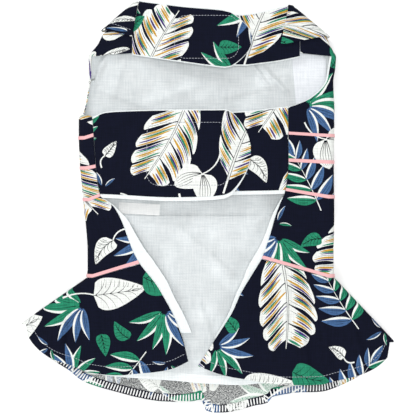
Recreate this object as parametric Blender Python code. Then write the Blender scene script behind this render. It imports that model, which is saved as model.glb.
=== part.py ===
"""A small dog's dress in lined cotton, lying belly up with its neck strap and belly strap closed.

The dress is one loop of cloth round the dog. A body panel lies on its back and wraps up over both
sides, a gathered skirt hangs from the waist, a turned-down collar stands at the neck, and two
straps close over the neck and the belly. X runs across the dress, +Y towards the neck and +Z up.
The origin is on the surface that the dress lies on, below the middle of its outline.
All lengths are in metres.
"""

import math

import bpy
from mathutils import Vector

# Lengths down the dress, which add up to its whole length.
COLLAR_HEIGHT = 0.0268
SHOULDER_HEIGHT = 0.0150
ARMHOLE_HEIGHT = 0.0510
SIDE_HEIGHT = 0.1282
SKIRT_LENGTH = 0.1090

# Widths across the dress, lying flat.
CHEST_WIDTH = 0.2020
HEM_SPAN = 0.3000
BELLY_STRAP_WIDTH = 0.0660
LEAF_WIDTH = 0.0205
LEAF_DROOP = 0.0050

# Thicknesses and the clearances between pieces.
CLOTH = 0.0010
RIBBON_THICKNESS = 0.0010
FASTENER_THICKNESS = 0.0012
GAP = 0.0003
COLLAR_ROLL = 0.0024

# Heights that the front stands above the back, at the side folds and more in the middle.
NECK_LOFT, NECK_CROWN = 0.0065, 0.0045
CHEST_LOFT, CHEST_CROWN = 0.0090, 0.0080
HEM_LOFT, HEM_CROWN = 0.0065, 0.0010
# How far from the middle the crown reaches, at neck, chest and hem, as shares of half the chest.
CROWN_REACH = (0.62, 0.90, 0.90)

# Depths of the curves that the outline follows.
NECK_TOP_DIP = 0.0100
NECK_STRAP_SAG = 0.0115
WAIST_RISE = 0.0155
GATHER_DEPTH = 0.0040
FRONT_GATHER_DEPTH = 0.0025
GATHERS, FRONT_GATHERS = 8, 3

# Trim, straps and fasteners.
RIBBON_WIDTH = 0.0028
FACING_REACH = 0.0124
FACING_TUCK = 0.0060
NECK_STRAP_REACH, BELLY_STRAP_REACH = 0.0950, 0.1240
NECK_STRAP_OVERLAP, BELLY_STRAP_OVERLAP = 0.0650, 0.0860
STRAP_ROUNDING = 0.0210
STRAP_INSET = 0.0020
NECK_FASTENER_WIDTH, NECK_FASTENER_HEIGHT = 0.0480, 0.0300
BELLY_FASTENER_WIDTH, BELLY_FASTENER_HEIGHT = 0.0620, 0.0460
NECK_FASTENER_TO_END, BELLY_FASTENER_TO_END = 0.0118, 0.0188
LABEL_WIDTH, LABEL_HEIGHT = 0.0330, 0.0090
LABEL_TILT = math.radians(-3)

# Columns of faces round one side fold, along one front edge, and across the back.
TURN_COLUMNS, FRONT_COLUMNS, BACK_COLUMNS = 6, 6, 10
ARC_TOLERANCE = 1e-9

HALF_CHEST = CHEST_WIDTH / 2
HALF_HEM = (HEM_SPAN - CLOTH) / 2
Y_TOP = (COLLAR_HEIGHT + SHOULDER_HEIGHT + ARMHOLE_HEIGHT + SIDE_HEIGHT + SKIRT_LENGTH) / 2
Y_SEAM = Y_TOP - COLLAR_HEIGHT
Y_NECK = Y_SEAM - SHOULDER_HEIGHT
Y_SIDE = Y_NECK - ARMHOLE_HEIGHT
Y_WAIST = Y_SIDE - SIDE_HEIGHT
Y_HEM = Y_WAIST - SKIRT_LENGTH
SECTION = {
    "shoulder": (Y_SEAM, SHOULDER_HEIGHT),
    "armhole": (Y_NECK, ARMHOLE_HEIGHT),
    "side": (Y_SIDE, SIDE_HEIGHT),
}

# The share of ARMHOLE_HEIGHT down, at which the belly strap's seam starts.
ARMHOLE_CORNER = 0.86

# Body panel. Columns: section, share of it down, then left fold, left edge, right edge and right
# fold as shares of half the chest, then the rise of each front edge as a share of WAIST_RISE.
BODY_ROWS = (
    ("shoulder", 0.00, -0.832, -0.599, 0.731, 0.931, 0.00, 0.00),
    ("shoulder", 0.50, -0.870, -0.599, 0.731, 0.965, 0.00, 0.00),
    ("shoulder", 0.97, -0.927, -0.601, 0.735, 1.000, 0.00, 0.00),
    ("armhole", 0.04, -0.941, -0.905, 0.979, 1.014, 0.00, 0.00),
    ("armhole", 0.22, -0.941, -0.907, 0.965, 1.008, 0.00, 0.00),
    ("armhole", 0.47, -0.941, -0.908, 0.940, 0.992, 0.00, 0.00),
    ("armhole", 0.60, -0.948, -0.915, 0.876, 0.994, 0.00, 0.00),
    ("armhole", 0.72, -0.957, -0.923, 0.800, 0.998, 0.00, 0.00),
    ("armhole", 0.81, -0.966, -0.931, 0.695, 1.000, 0.00, 0.00),
    ("armhole", ARMHOLE_CORNER, -0.972, -0.937, 0.634, 1.000, 0.00, 0.00),
    ("armhole", 0.96, -0.988, -0.950, 0.634, 1.000, 0.00, 0.00),
    ("side", 0.00, -1.020, -0.919, 0.634, 1.000, 0.06, 0.00),
    ("side", 0.12, -1.020, -0.905, 0.637, 1.000, 0.15, 0.12),
    ("side", 0.30, -1.010, -0.888, 0.637, 0.996, 0.09, 0.10),
    ("side", 0.51, -0.986, -0.853, 0.610, 0.999, 0.24, 0.40),
    ("side", 0.60, -0.975, -0.745, 0.570, 1.000, 0.36, 0.52),
    ("side", 0.70, -0.960, -0.682, 0.530, 0.998, 0.46, 0.64),
    ("side", 0.83, -0.950, -0.627, 0.490, 0.994, 0.58, 0.80),
    ("side", 0.93, -0.950, -0.582, 0.454, 0.995, 0.68, 0.92),
    ("side", 1.00, -0.955, -0.535, 0.423, 1.000, 0.74, 1.00),
)

# Hem outlines. Columns: across as a share of half the hem, down as a share of SKIRT_LENGTH.
HEM_FRONT_LEFT = (
    (-1.000, 0.340), (-0.931, 0.490), (-0.847, 0.580), (-0.720, 0.648), (-0.641, 0.692),
    (-0.486, 0.712), (-0.335, 0.696), (-0.190, 0.662), (-0.104, 0.609),
)
HEM_FRONT_RIGHT = (
    (-0.053, 0.644), (0.076, 0.706), (0.164, 0.732), (0.313, 0.770), (0.425, 0.785),
    (0.595, 0.785), (0.687, 0.756), (0.850, 0.692), (0.970, 0.571), (1.000, 0.473),
)
HEM_BACK = (
    (-1.000, 0.340), (-0.930, 0.500), (-0.850, 0.590), (-0.748, 0.688), (-0.684, 0.756),
    (-0.575, 0.811), (-0.479, 0.853), (-0.375, 0.883), (-0.228, 0.919), (-0.121, 0.917),
    (-0.031, 0.905), (-0.014, 0.982), (0.036, 1.000), (0.143, 0.985), (0.255, 0.949),
    (0.327, 0.919), (0.340, 0.884), (0.433, 0.859), (0.617, 0.839), (0.687, 0.815),
    (0.780, 0.756), (0.849, 0.692), (0.960, 0.580), (1.000, 0.473),
)
# Front edges of the skirt. Columns: share of the way down the edge, then the edge's outward bulge
# from a straight line, as a share of half the hem.
SKIRT_EDGE_LEFT = ((0.00, 0.000), (0.25, 0.036), (0.50, 0.044), (0.72, 0.034), (1.00, 0.000))
SKIRT_EDGE_RIGHT = ((0.00, 0.000), (0.28, -0.004), (0.52, 0.012), (0.76, 0.006), (1.00, 0.000))
SKIRT_ROWS = 8
SKIRT_FRONT_COLUMNS = 9
WIDEST_HEM_COLUMN = 0.0075

# Neck edges. Columns: across as a share of half the chest, down as a share of the named depth.
NECK_TOP = (
    (-0.550, 0.00), (-0.473, 0.15), (-0.172, 0.60), (0.105, 0.85), (0.248, 1.00), (0.422, 0.78),
    (0.683, 0.24),
)
NECK_BOTTOM = (
    (-0.592, 0.02), (-0.220, 0.57), (0.030, 0.88), (0.145, 0.98), (0.297, 0.96), (0.430, 0.78),
    (0.731, 0.16),
)
# The share of the leaf's and the stand's way up, at which each of the collar's rows lies.
COLLAR_STAND_ROWS = (0.0, 0.5, 1.0)
COLLAR_ROLL_ROWS = (0.25, 0.5, 0.75)
COLLAR_LEAF_ROWS = (1.0, 0.66, 0.33, 0.0)
# The collar as shares of half the chest. Columns: side, front edge at the top, fold at the top,
# then the leaf's fold and front edge at its bottom.
COLLAR_SIDES = {
    -1: (-0.550, -0.577, -0.822, -0.599),
    1: (0.636, 0.660, 0.944, 0.574),
}

# Belly strap outline. Columns: across as a share of half the chest, then its lower and its upper
# edge as shares of half the strap's width, from the strap's middle line.
BELLY_STRAP = (
    (-0.905, -0.990, 0.850), (-0.806, -1.000, 0.965), (-0.703, -1.015, 0.985),
    (-0.277, -1.076, 1.000), (0.000, -1.058, 1.000), (0.198, -0.994, 1.010),
    (0.327, -0.965, 1.020), (0.632, -0.890, 1.095),
)
BELLY_STRAP_DROP = 0.0284
# Rounded end of a strap. Columns: share of STRAP_ROUNDING along, share of the width that is left.
STRAP_END = ((0.20, 0.965), (0.40, 0.86), (0.60, 0.71), (0.80, 0.51), (0.92, 0.34), (1.00, 0.14))
STRAP_ROWS, STRAP_COLUMNS, FASTENER_ROWS = 6, 12, 2

# Ribbons round the body. Columns: name, then the share of SIDE_HEIGHT down at each fold.
RIBBONS = (
    ("ribbon_chest", 0.128, 0.112),
    ("ribbon_belly", 0.316, 0.278),
    ("ribbon_side", 0.512, 0.494),
)

# Front facings. Columns: share of the way down from the strap, then reach past the printed edge
# as a share of FACING_REACH.
FACING_LEFT = (
    (0.00, 0.06), (0.08, 0.14), (0.16, 0.42), (0.25, 0.56), (0.36, 0.78), (0.48, 1.00),
    (0.56, 0.92), (0.76, 0.66), (1.00, 0.70),
)
FACING_RIGHT = (
    (0.00, 0.06), (0.12, 0.22), (0.30, 0.36), (0.46, 0.58), (0.60, 0.34), (0.80, 0.20),
    (1.00, 0.10),
)
FACING_START = 0.5
FACING_DEPTH_LEFT, FACING_DEPTH_RIGHT = 0.40, 0.44

# Lining of the skirt's back. Columns: across as a share of half the hem, down as a share of
# SKIRT_LENGTH, along its lower edge.
LINING_HEM = (
    (-0.660, 0.690), (-0.537, 0.722), (-0.271, 0.750), (-0.132, 0.764), (-0.050, 0.776),
    (0.172, 0.790), (0.305, 0.774), (0.480, 0.760), (0.640, 0.740),
)
LINING_TOP = 0.614
LINING_SHOULDER = 0.86
LINING_ROWS, LINING_COLUMNS = 10, 10
LABEL_ACROSS = -0.545

COLOURS = {
    "print_cotton": (0.010, 0.012, 0.028),
    "white_lining": (0.800, 0.820, 0.810),
    "pink_ribbon": (0.850, 0.430, 0.430),
    "label_tape": (0.880, 0.890, 0.880),
    "fastener_tape": (0.012, 0.013, 0.020),
}


def clear_scene():
    for thing in list(bpy.data.objects):
        bpy.data.objects.remove(thing, do_unlink=True)


def cloth_material(name):
    found = bpy.data.materials.get(name)
    if found:
        return found
    material = bpy.data.materials.new(name)
    material.use_nodes = True
    shader = material.node_tree.nodes["Principled BSDF"]
    shader.inputs["Base Color"].default_value = (*COLOURS[name], 1.0)
    shader.inputs["Roughness"].default_value = 0.85
    shader.inputs["Metallic"].default_value = 0.0
    return material


def mix(low, high, share):
    return low + (high - low) * share


def clamp(value):
    return min(1.0, max(0.0, value))


def smooth(share):
    share = clamp(share)
    return share * share * (3 - 2 * share)


def table_value(table, at, column=1):
    """The column's value where the first column is at, on straight lines between the rows."""
    if at <= table[0][0]:
        return table[0][column]
    for low, high in zip(table, table[1:]):
        if at <= high[0]:
            return mix(low[column], high[column], (at - low[0]) / (high[0] - low[0]))
    return table[-1][column]


def stations(table, scale, longest):
    """The table's first column times scale, with more values between any two far apart."""
    found = [table[0][0] * scale]
    for row in table[1:]:
        step = row[0] * scale - found[-1]
        count = max(1, math.ceil(step / longest))
        found += [found[-1] + step / count * (k + 1) for k in range(count)]
    return found


# Heights of the cloth's middle surface.
def back_height(y):
    """The back lies on its ribbons, above the collar's leaf at the neck, and on its hem."""
    at_neck = COLLAR_ROLL + CLOTH / 2
    on_ribbons = RIBBON_THICKNESS + GAP + CLOTH / 2
    if y > Y_WAIST:
        return mix(on_ribbons, at_neck, smooth((y - Y_SIDE) / ARMHOLE_HEIGHT))
    return mix(on_ribbons, CLOTH / 2, clamp((Y_WAIST - y) / SKIRT_LENGTH))


def along_dress(y, neck, chest, hem):
    if y > Y_WAIST:
        return mix(chest, neck, smooth((y - Y_SIDE) / ARMHOLE_HEIGHT))
    return mix(chest, hem, clamp((Y_WAIST - y) / SKIRT_LENGTH))


def loft(y):
    return along_dress(y, NECK_LOFT, CHEST_LOFT, HEM_LOFT)


def crown(x, y):
    half = along_dress(y, *(share * HALF_CHEST for share in CROWN_REACH))
    height = along_dress(y, NECK_CROWN, CHEST_CROWN, HEM_CROWN)
    return height * (1 - min(1.0, abs(x) / half) ** 2) ** 2


def front_height(x, y):
    return back_height(y) + loft(y) + crown(x, y)


# Walls of cloth made from a grid of points.
def straight_up(rows, i, j):
    return Vector((0.0, 0.0, 1.0))


def across_row(rows, i, j):
    """The normal of the row's own path, seen along Y."""
    row = rows[i]
    across = row[min(j + 1, len(row) - 1)] - row[max(j - 1, 0)]
    return across.cross(Vector((0.0, -1.0, 0.0))).normalized()


def across_grid(rows, i, j):
    """The normal of the whole surface, and at the first and last row that of the row's path."""
    row, last = rows[i], len(rows) - 1
    across = row[min(j + 1, len(row) - 1)] - row[max(j - 1, 0)]
    down = rows[min(i + 1, last)][j] - rows[max(i - 1, 0)][j]
    if i in (0, last):
        down = Vector((0.0, down.y, 0.0))
    return across.cross(down).normalized()


def cloth_wall(name, rows, thickness, material, normal_at):
    """A closed wall whose middle surface is the grid of points."""
    height, width = len(rows), len(rows[0])
    upper, lower = [], []
    for i, row in enumerate(rows):
        for j, point in enumerate(row):
            normal = normal_at(rows, i, j)
            upper.append(point + normal * thickness / 2)
            lower.append(point - normal * thickness / 2)
    count = height * width
    faces = []
    for i in range(height - 1):
        for j in range(width - 1):
            quad = (i * width + j, i * width + j + 1, (i + 1) * width + j + 1, (i + 1) * width + j)
            faces.append(quad)
            faces.append(tuple(count + k for k in reversed(quad)))
    border = [j for j in range(width)]
    border += [i * width + width - 1 for i in range(1, height)]
    border += [(height - 1) * width + j for j in range(width - 2, -1, -1)]
    border += [i * width for i in range(height - 2, 0, -1)]
    for a, b in zip(border, border[1:] + border[:1]):
        faces.append((b, a, a + count, b + count))
    return add_mesh(name, upper + lower, faces, material)


def add_mesh(name, points, faces, material):
    mesh = bpy.data.meshes.new(name)
    mesh.from_pydata([tuple(p) for p in points], [], faces)
    volume = signed_volume(points, faces)
    if volume < 0:
        mesh.flip_normals()
    mesh.materials.append(cloth_material(material))
    thing = bpy.data.objects.new(name, mesh)
    bpy.context.scene.collection.objects.link(thing)
    mesh.shade_smooth()
    mesh.set_sharp_from_angle(angle=math.radians(40))
    return thing


def signed_volume(points, faces):
    total = 0.0
    for face in faces:
        for a, b in zip(face[1:], face[2:]):
            total += points[face[0]].dot(points[a].cross(points[b])) / 6
    return total


# Rows that run from the left front edge, round the back, to the right front edge.
def side_points(side, fold, edge, y_fold, y_edge, level, front_columns=FRONT_COLUMNS):
    """Points from the start of a side fold on the back, up round it and along the front."""
    inward = -side
    low = back_height(y_fold) - level
    high = back_height(y_fold) + loft(y_fold) + level
    radius = (high - low) / 2
    centre = fold + side * level + inward * radius
    reach = (edge - centre) * inward
    if reach > 0:
        arc, front = math.pi * radius, reach
    else:
        arc, front = radius * (math.pi / 2 + math.acos(clamp(-reach / radius))), 0.0
    total = arc + front
    turn = min(arc, 0.7 * total)
    lengths = [turn * k / TURN_COLUMNS for k in range(TURN_COLUMNS + 1)]
    lengths += [mix(turn, total, k / front_columns) for k in range(1, front_columns + 1)]
    points = []
    for length in lengths:
        if length <= arc + ARC_TOLERANCE:
            angle = length / radius - math.pi / 2
            x = centre - inward * radius * math.cos(angle)
            points.append(Vector((x, y_fold, low + radius + radius * math.sin(angle))))
        else:
            x = centre + inward * (length - arc)
            y = mix(y_fold, y_edge, (length - arc) / front)
            points.append(Vector((x, y, front_height(x, y) + level)))
    return points


def loop_row(left, right, back_y, level=0.0):
    """One row of a loop. left and right hold fold x, edge x, fold y and edge y."""
    left_points = side_points(-1, *left, level)
    right_points = side_points(1, *right, level)
    start, end = left_points[0].x, right_points[0].x
    back = []
    for k in range(1, BACK_COLUMNS):
        x = mix(start, end, k / BACK_COLUMNS)
        y = back_y(x)
        back.append(Vector((x, y, back_height(y) - level)))
    return left_points[::-1] + back + right_points


def body_table():
    """The body's rows as y at the fold, the four x's, and y at each front edge."""
    found = []
    for section, down, left_fold, left_edge, right_edge, right_fold, left_up, right_up in BODY_ROWS:
        start, length = SECTION[section]
        y = start - length * down
        found.append((
            -y,
            left_fold * HALF_CHEST,
            left_edge * HALF_CHEST,
            right_edge * HALF_CHEST,
            right_fold * HALF_CHEST,
            y + left_up * WAIST_RISE,
            y + right_up * WAIST_RISE,
        ))
    return found


BODY = body_table()
# The front edges of the body, as y downwards and x, for what is sewn or lies along them.
BODY_EDGE_LEFT = tuple((-row[5], row[2]) for row in BODY)
BODY_EDGE_RIGHT = tuple((-row[6], row[3]) for row in BODY)


def body_side(y, fold_column, edge_column, edge_y_column):
    fold = table_value(BODY, -y, fold_column)
    edge = table_value(BODY, -y, edge_column)
    return fold, edge, y, table_value(BODY, -y, edge_y_column)


def body_row(y_left, y_right, level=0.0):
    left = body_side(y_left, 1, 2, 5)
    right = body_side(y_right, 4, 3, 6)

    def back_y(x):
        return mix(y_left, y_right, (x - left[0]) / (right[0] - left[0]))

    return loop_row(left, right, back_y, level)


def make_body():
    rows = [body_row(-row[0], -row[0]) for row in BODY]
    cloth_wall("body_panel", rows, CLOTH, "print_cotton", across_row)


def make_ribbon(name, y_left, y_right):
    level = CLOTH / 2 + GAP + RIBBON_THICKNESS / 2
    rows = []
    for up in (RIBBON_WIDTH / 2, -RIBBON_WIDTH / 2):
        rows.append(body_row(y_left + up, y_right + up, level))
    cloth_wall(name, rows, RIBBON_THICKNESS, "pink_ribbon", across_row)


def make_ribbons():
    for name, left_down, right_down in RIBBONS:
        make_ribbon(name, Y_SIDE - SIDE_HEIGHT * left_down, Y_SIDE - SIDE_HEIGHT * right_down)
    y_piping = Y_WAIST + GAP + RIBBON_WIDTH / 2
    make_ribbon("waist_piping", y_piping, y_piping)


# Skirt.
def skirt_front_y(table, x):
    return Y_WAIST - SKIRT_LENGTH * table_value(table, x / HALF_HEM)


def skirt_side(side, hem_table, hem_edge_x, edge_table):
    """The waist's and the hem's points on one side, from the back of the fold to the edge."""
    columns = (1, 2, 5) if side < 0 else (4, 3, 6)
    waist = side_points(side, *body_side(Y_WAIST, *columns), 0.0, SKIRT_FRONT_COLUMNS)
    for point in waist:
        point.y -= GAP
    fold = side * HALF_HEM
    y_fold = skirt_front_y(hem_table, fold)
    hem = side_points(side, fold, hem_edge_x, y_fold, y_fold, 0.0, SKIRT_FRONT_COLUMNS)
    for point in hem[TURN_COLUMNS + 1:]:
        point.y = skirt_front_y(hem_table, point.x)
    bulge = [table_value(edge_table, r / SKIRT_ROWS) * HALF_HEM for r in range(SKIRT_ROWS + 1)]
    return waist, hem, bulge


def skirt_side_row(parts, t, row):
    waist, hem, bulge = parts
    found = []
    for k, (top, bottom) in enumerate(zip(waist, hem)):
        point = top.lerp(bottom, t)
        if k > TURN_COLUMNS:
            share = (k - TURN_COLUMNS) / SKIRT_FRONT_COLUMNS
            point.x += bulge[row] * share * share
            stand_off = t * FRONT_GATHER_DEPTH * ripple(FRONT_GATHERS * share)
            point.z = front_height(point.x, point.y) + stand_off
        found.append(point)
    return found


def ripple(turns):
    """A wave from 0 up to 1 and back for each turn."""
    return 0.5 - 0.5 * math.cos(2 * math.pi * turns)


def make_skirt():
    left = skirt_side(-1, HEM_FRONT_LEFT, HEM_FRONT_LEFT[-1][0] * HALF_HEM, SKIRT_EDGE_LEFT)
    right = skirt_side(1, HEM_FRONT_RIGHT, HEM_FRONT_RIGHT[0][0] * HALF_HEM, SKIRT_EDGE_RIGHT)
    hem_start, hem_end = left[1][0].x, right[1][0].x
    inner = [x for x in stations(HEM_BACK, HALF_HEM, WIDEST_HEM_COLUMN) if hem_start < x < hem_end]
    shares = [(x - hem_start) / (hem_end - hem_start) for x in inner]
    rows = []
    for r in range(SKIRT_ROWS + 1):
        t = r / SKIRT_ROWS
        left_row = skirt_side_row(left, t, r)
        right_row = skirt_side_row(right, t, r)
        back = []
        for share, hem_x in zip(shares, inner):
            top_x = mix(left[0][0].x, right[0][0].x, share)
            y = mix(Y_WAIST - GAP, Y_WAIST - SKIRT_LENGTH * table_value(HEM_BACK, hem_x / HALF_HEM), t)
            stand_off = t * GATHER_DEPTH * ripple(GATHERS * share)
            back.append(Vector((mix(top_x, hem_x, t), y, back_height(y) + stand_off)))
        rows.append(left_row[::-1] + back + right_row)
    cloth_wall("skirt", rows, CLOTH, "print_cotton", across_grid)


# Collar.
def neck_top(x):
    return Y_TOP - NECK_TOP_DIP * table_value(NECK_TOP, x / HALF_CHEST)


def neck_bottom(x):
    return Y_NECK - NECK_STRAP_SAG * table_value(NECK_BOTTOM, x / HALF_CHEST)


def stand_edge(side, share):
    """x of the collar's front edge, a share of the way from its seam to its top."""
    seam = BODY[0][2] if side < 0 else BODY[0][3]
    return mix(seam, COLLAR_SIDES[side][0] * HALF_CHEST, share)


def stand_top(x):
    """y of the middle of the cloth at the top of the stand, where the roll starts."""
    return neck_top(x) - (COLLAR_ROLL + CLOTH) / 2


def collar_row(share, level, over, leaf):
    """A row of the collar. over is how far past the stand's top the roll reaches."""

    def y_at(x):
        low = stand_top(x) - LEAF_WIDTH if leaf else Y_SEAM + GAP
        return mix(low, stand_top(x), share) + over

    sides = []
    for side in (-1, 1):
        top_edge, top_fold, leaf_fold, leaf_edge = (s * HALF_CHEST for s in COLLAR_SIDES[side])
        seam_fold = BODY[0][1] if side < 0 else BODY[0][4]
        fold = mix(leaf_fold if leaf else seam_fold, top_fold, share)
        edge = mix(leaf_edge, top_edge, share) if leaf else stand_edge(side, share)
        droop = LEAF_DROOP * (1 - share) if leaf else 0.0
        sides.append((fold, edge, y_at(fold), y_at(edge) - droop))
    return loop_row(*sides, y_at, level)


def make_collar():
    rows = [collar_row(share, 0.0, 0.0, False) for share in COLLAR_STAND_ROWS]
    for turn in COLLAR_ROLL_ROWS:
        level = COLLAR_ROLL / 2 * (1 - math.cos(math.pi * turn))
        rows.append(collar_row(1.0, level, COLLAR_ROLL / 2 * math.sin(math.pi * turn), False))
    rows += [collar_row(share, COLLAR_ROLL, 0.0, True) for share in COLLAR_LEAF_ROWS]
    cloth_wall("collar", rows, CLOTH, "print_cotton", across_grid)


# Straps and their fasteners.
def neck_seam(side, y):
    """x of the seam that a neck strap is sewn to."""
    top = stand_top(COLLAR_SIDES[side][0] * HALF_CHEST)
    return stand_edge(side, max(0.0, (y - Y_SEAM) / (top - Y_SEAM))) - side * GAP


def belly_seam(side, y):
    edge = BODY_EDGE_LEFT if side < 0 else BODY_EDGE_RIGHT
    highest = Y_NECK - ARMHOLE_CORNER * ARMHOLE_HEIGHT
    return table_value(edge, -min(y, highest)) - side * GAP


def belly_middle():
    return Y_SIDE - BELLY_STRAP_DROP


def belly_edges(x):
    half = BELLY_STRAP_WIDTH / 2
    low = table_value(BELLY_STRAP, x / HALF_CHEST, 1)
    high = table_value(BELLY_STRAP, x / HALF_CHEST, 2)
    return belly_middle() + low * half, belly_middle() + high * half


def neck_edges(x):
    return neck_bottom(x), neck_top(x)


def strap_rows(side, edges, seam, end_x, layer, inset=0.0):
    """A strap from its seam to a rounded end. inset narrows the stretch that lies underneath."""
    turn_x = end_x + side * STRAP_ROUNDING
    tip_middle = sum(edges(end_x)) / 2

    def y_at(x, v, tuck=0.0):
        bottom, top = edges(x)
        return mix(bottom + tuck, top - tuck, v)

    rows = []
    for r in range(STRAP_ROWS + 1):
        v = r / STRAP_ROWS
        start = seam(side, y_at(seam(side, tip_middle), v))
        row = []
        for k in range(STRAP_COLUMNS + 1):
            x = mix(start, turn_x, k / STRAP_COLUMNS)
            y = y_at(x, v, inset * smooth(2 * k / STRAP_COLUMNS))
            row.append(Vector((x, y, front_height(x, y) + layer(x))))
        for along, narrow in STRAP_END:
            x = mix(turn_x, end_x, along)
            y = mix(tip_middle, y_at(x, v, inset), narrow)
            row.append(Vector((x, y, front_height(x, y) + layer(x))))
        rows.append(row)
    return rows


def under_layer(x):
    return 0.0


def over_layer(start, end, under_end, to_end):
    """Height of the upper strap above the front: level at its seam, then over what lies below."""
    over_pad = CLOTH + 2 * GAP + FASTENER_THICKNESS
    over_strap = CLOTH + GAP

    def layer(x):
        rise = over_pad * smooth((x - start) / (under_end - start))
        fall = (over_pad - over_strap) * smooth((x - (end - to_end)) / to_end)
        return rise - fall

    return layer


def fastener_rows(width, height, centre_x, centre_y):
    """A pad of hook and loop tape between two straps."""
    lift = CLOTH / 2 + GAP + FASTENER_THICKNESS / 2
    rows = []
    for r in range(FASTENER_ROWS + 1):
        y = centre_y + (r / FASTENER_ROWS - 0.5) * height
        xs = [centre_x + (k / STRAP_COLUMNS - 0.5) * width for k in range(STRAP_COLUMNS + 1)]
        rows.append([Vector((x, y, front_height(x, y) + lift)) for x in xs])
    return rows


def make_strap_pair(place, edges, seam, reach, overlap, width, height, to_end):
    """The left strap lies over the right one, with a fastener of this width and height between."""
    bottom, top = edges(0.0)
    left_seam = seam(-1, (bottom + top) / 2)
    left_end = left_seam + reach
    right_end = left_end - overlap
    pad_x = left_end - to_end - width / 2
    over = over_layer(left_seam, left_end, right_end - STRAP_INSET, to_end)
    left = strap_rows(-1, edges, seam, left_end, over)
    right = strap_rows(1, edges, seam, right_end, under_layer, STRAP_INSET)
    pad_bottom, pad_top = edges(pad_x)
    pad = fastener_rows(width, height, pad_x, (pad_bottom + pad_top) / 2)
    cloth_wall(place + "_strap_left", left, CLOTH, "print_cotton", straight_up)
    cloth_wall(place + "_strap_right", right, CLOTH, "print_cotton", straight_up)
    cloth_wall(place + "_fastener", pad, FASTENER_THICKNESS, "fastener_tape", straight_up)


def make_straps():
    make_strap_pair(
        "neck", neck_edges, neck_seam, NECK_STRAP_REACH, NECK_STRAP_OVERLAP,
        NECK_FASTENER_WIDTH, NECK_FASTENER_HEIGHT, NECK_FASTENER_TO_END,
    )
    make_strap_pair(
        "belly", belly_edges, belly_seam, BELLY_STRAP_REACH, BELLY_STRAP_OVERLAP,
        BELLY_FASTENER_WIDTH, BELLY_FASTENER_HEIGHT, BELLY_FASTENER_TO_END,
    )


# Facings, lining and label.
def skirt_edge_x(side, y):
    """x of the skirt's printed front edge at y."""
    hem = HEM_FRONT_LEFT[-1] if side < 0 else HEM_FRONT_RIGHT[0]
    table = SKIRT_EDGE_LEFT if side < 0 else SKIRT_EDGE_RIGHT
    top_y, top_x = (BODY[-1][5], BODY[-1][2]) if side < 0 else (BODY[-1][6], BODY[-1][3])
    hem_y = Y_WAIST - SKIRT_LENGTH * hem[1]
    t = clamp((top_y - y) / (top_y - hem_y))
    return mix(top_x, hem[0] * HALF_HEM, t) + table_value(table, t) * HALF_HEM


def front_edge_x(side, y):
    edge = BODY_EDGE_LEFT if side < 0 else BODY_EDGE_RIGHT
    if y > -edge[-1][0]:
        return table_value(edge, -y)
    return skirt_edge_x(side, y)


def make_facing(name, side, table, depth):
    """A strip of lining under the printed front edge, which shows beyond it."""
    start = Y_SIDE - FACING_START * SIDE_HEIGHT
    end = Y_WAIST - depth * SKIRT_LENGTH
    rows = []
    for down in stations(table, 1.0, 0.06):
        y = mix(start, end, down)
        edge = front_edge_x(side, y)
        reach = table_value(table, down) * FACING_REACH
        inner, outer = edge + side * FACING_TUCK, edge - side * reach
        xs = [mix(inner, outer, k / 3) for k in range(4)]
        rows.append([Vector((x, y, front_height(x, y) - CLOTH - GAP)) for x in xs])
    cloth_wall(name, rows, CLOTH, "white_lining", straight_up)


def lining_height(y):
    clear = back_height(y) + CLOTH + GAP
    lowest = table_value(HEM_BACK, -LINING_SHOULDER)
    return clear + GATHER_DEPTH * clamp((Y_WAIST - y) / (SKIRT_LENGTH * lowest))


def lining_top():
    return Y_SIDE - LINING_TOP * SIDE_HEIGHT


def make_lining():
    top_half = LINING_SHOULDER * HALF_CHEST
    first, last = LINING_HEM[0][0] * HALF_HEM, LINING_HEM[-1][0] * HALF_HEM
    rows = []
    for r in range(LINING_ROWS + 1):
        t = r / LINING_ROWS
        row = []
        for k in range(LINING_COLUMNS + 1):
            share = k / LINING_COLUMNS
            hem_x = mix(first, last, share)
            hem_y = Y_WAIST - SKIRT_LENGTH * table_value(LINING_HEM, hem_x / HALF_HEM)
            x = mix(mix(-top_half, top_half, share), hem_x, t)
            y = mix(lining_top(), hem_y, t)
            row.append(Vector((x, y, lining_height(y))))
        rows.append(row)
    cloth_wall("skirt_lining", rows, CLOTH, "white_lining", straight_up)


def make_label():
    """The label stands just above the top edge of the skirt's lining."""
    cos, sin = math.cos(LABEL_TILT), math.sin(LABEL_TILT)
    centre_x = LABEL_ACROSS * HALF_CHEST
    centre_y = lining_top() + GAP + (LABEL_HEIGHT * cos + LABEL_WIDTH * abs(sin)) / 2
    rows = []
    for v in (0.5, -0.5):
        row = []
        for u in (-0.5, 0.0, 0.5):
            across, up = u * LABEL_WIDTH, v * LABEL_HEIGHT
            x = centre_x + across * cos - up * sin
            y = centre_y + across * sin + up * cos
            row.append(Vector((x, y, back_height(Y_WAIST) + CLOTH + GAP)))
        rows.append(row)
    cloth_wall("care_label", rows, CLOTH, "label_tape", straight_up)


def main():
    clear_scene()
    make_body()
    make_ribbons()
    make_skirt()
    make_collar()
    make_straps()
    make_facing("facing_left", -1, FACING_LEFT, FACING_DEPTH_LEFT)
    make_facing("facing_right", 1, FACING_RIGHT, FACING_DEPTH_RIGHT)
    make_lining()
    make_label()


main()
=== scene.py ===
"""A small dog's dress in printed cotton with a white lining, lying belly up on a pale floor.

Every piece of cloth is a closed shell with an outer and an inner face. Its outline and its print are
laid out flat, as the cloth is cut, and then carried onto the form that the dress lies in.
Lengths in this script are millimetres, with X across the dress, +Y towards the neck and +Z up.
"""

import math
import random

import bpy
import numpy as np
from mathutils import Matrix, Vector, noise
from mathutils.bvhtree import BVHTree
from mathutils.geometry import barycentric_transform, delaunay_2d_cdt


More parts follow.
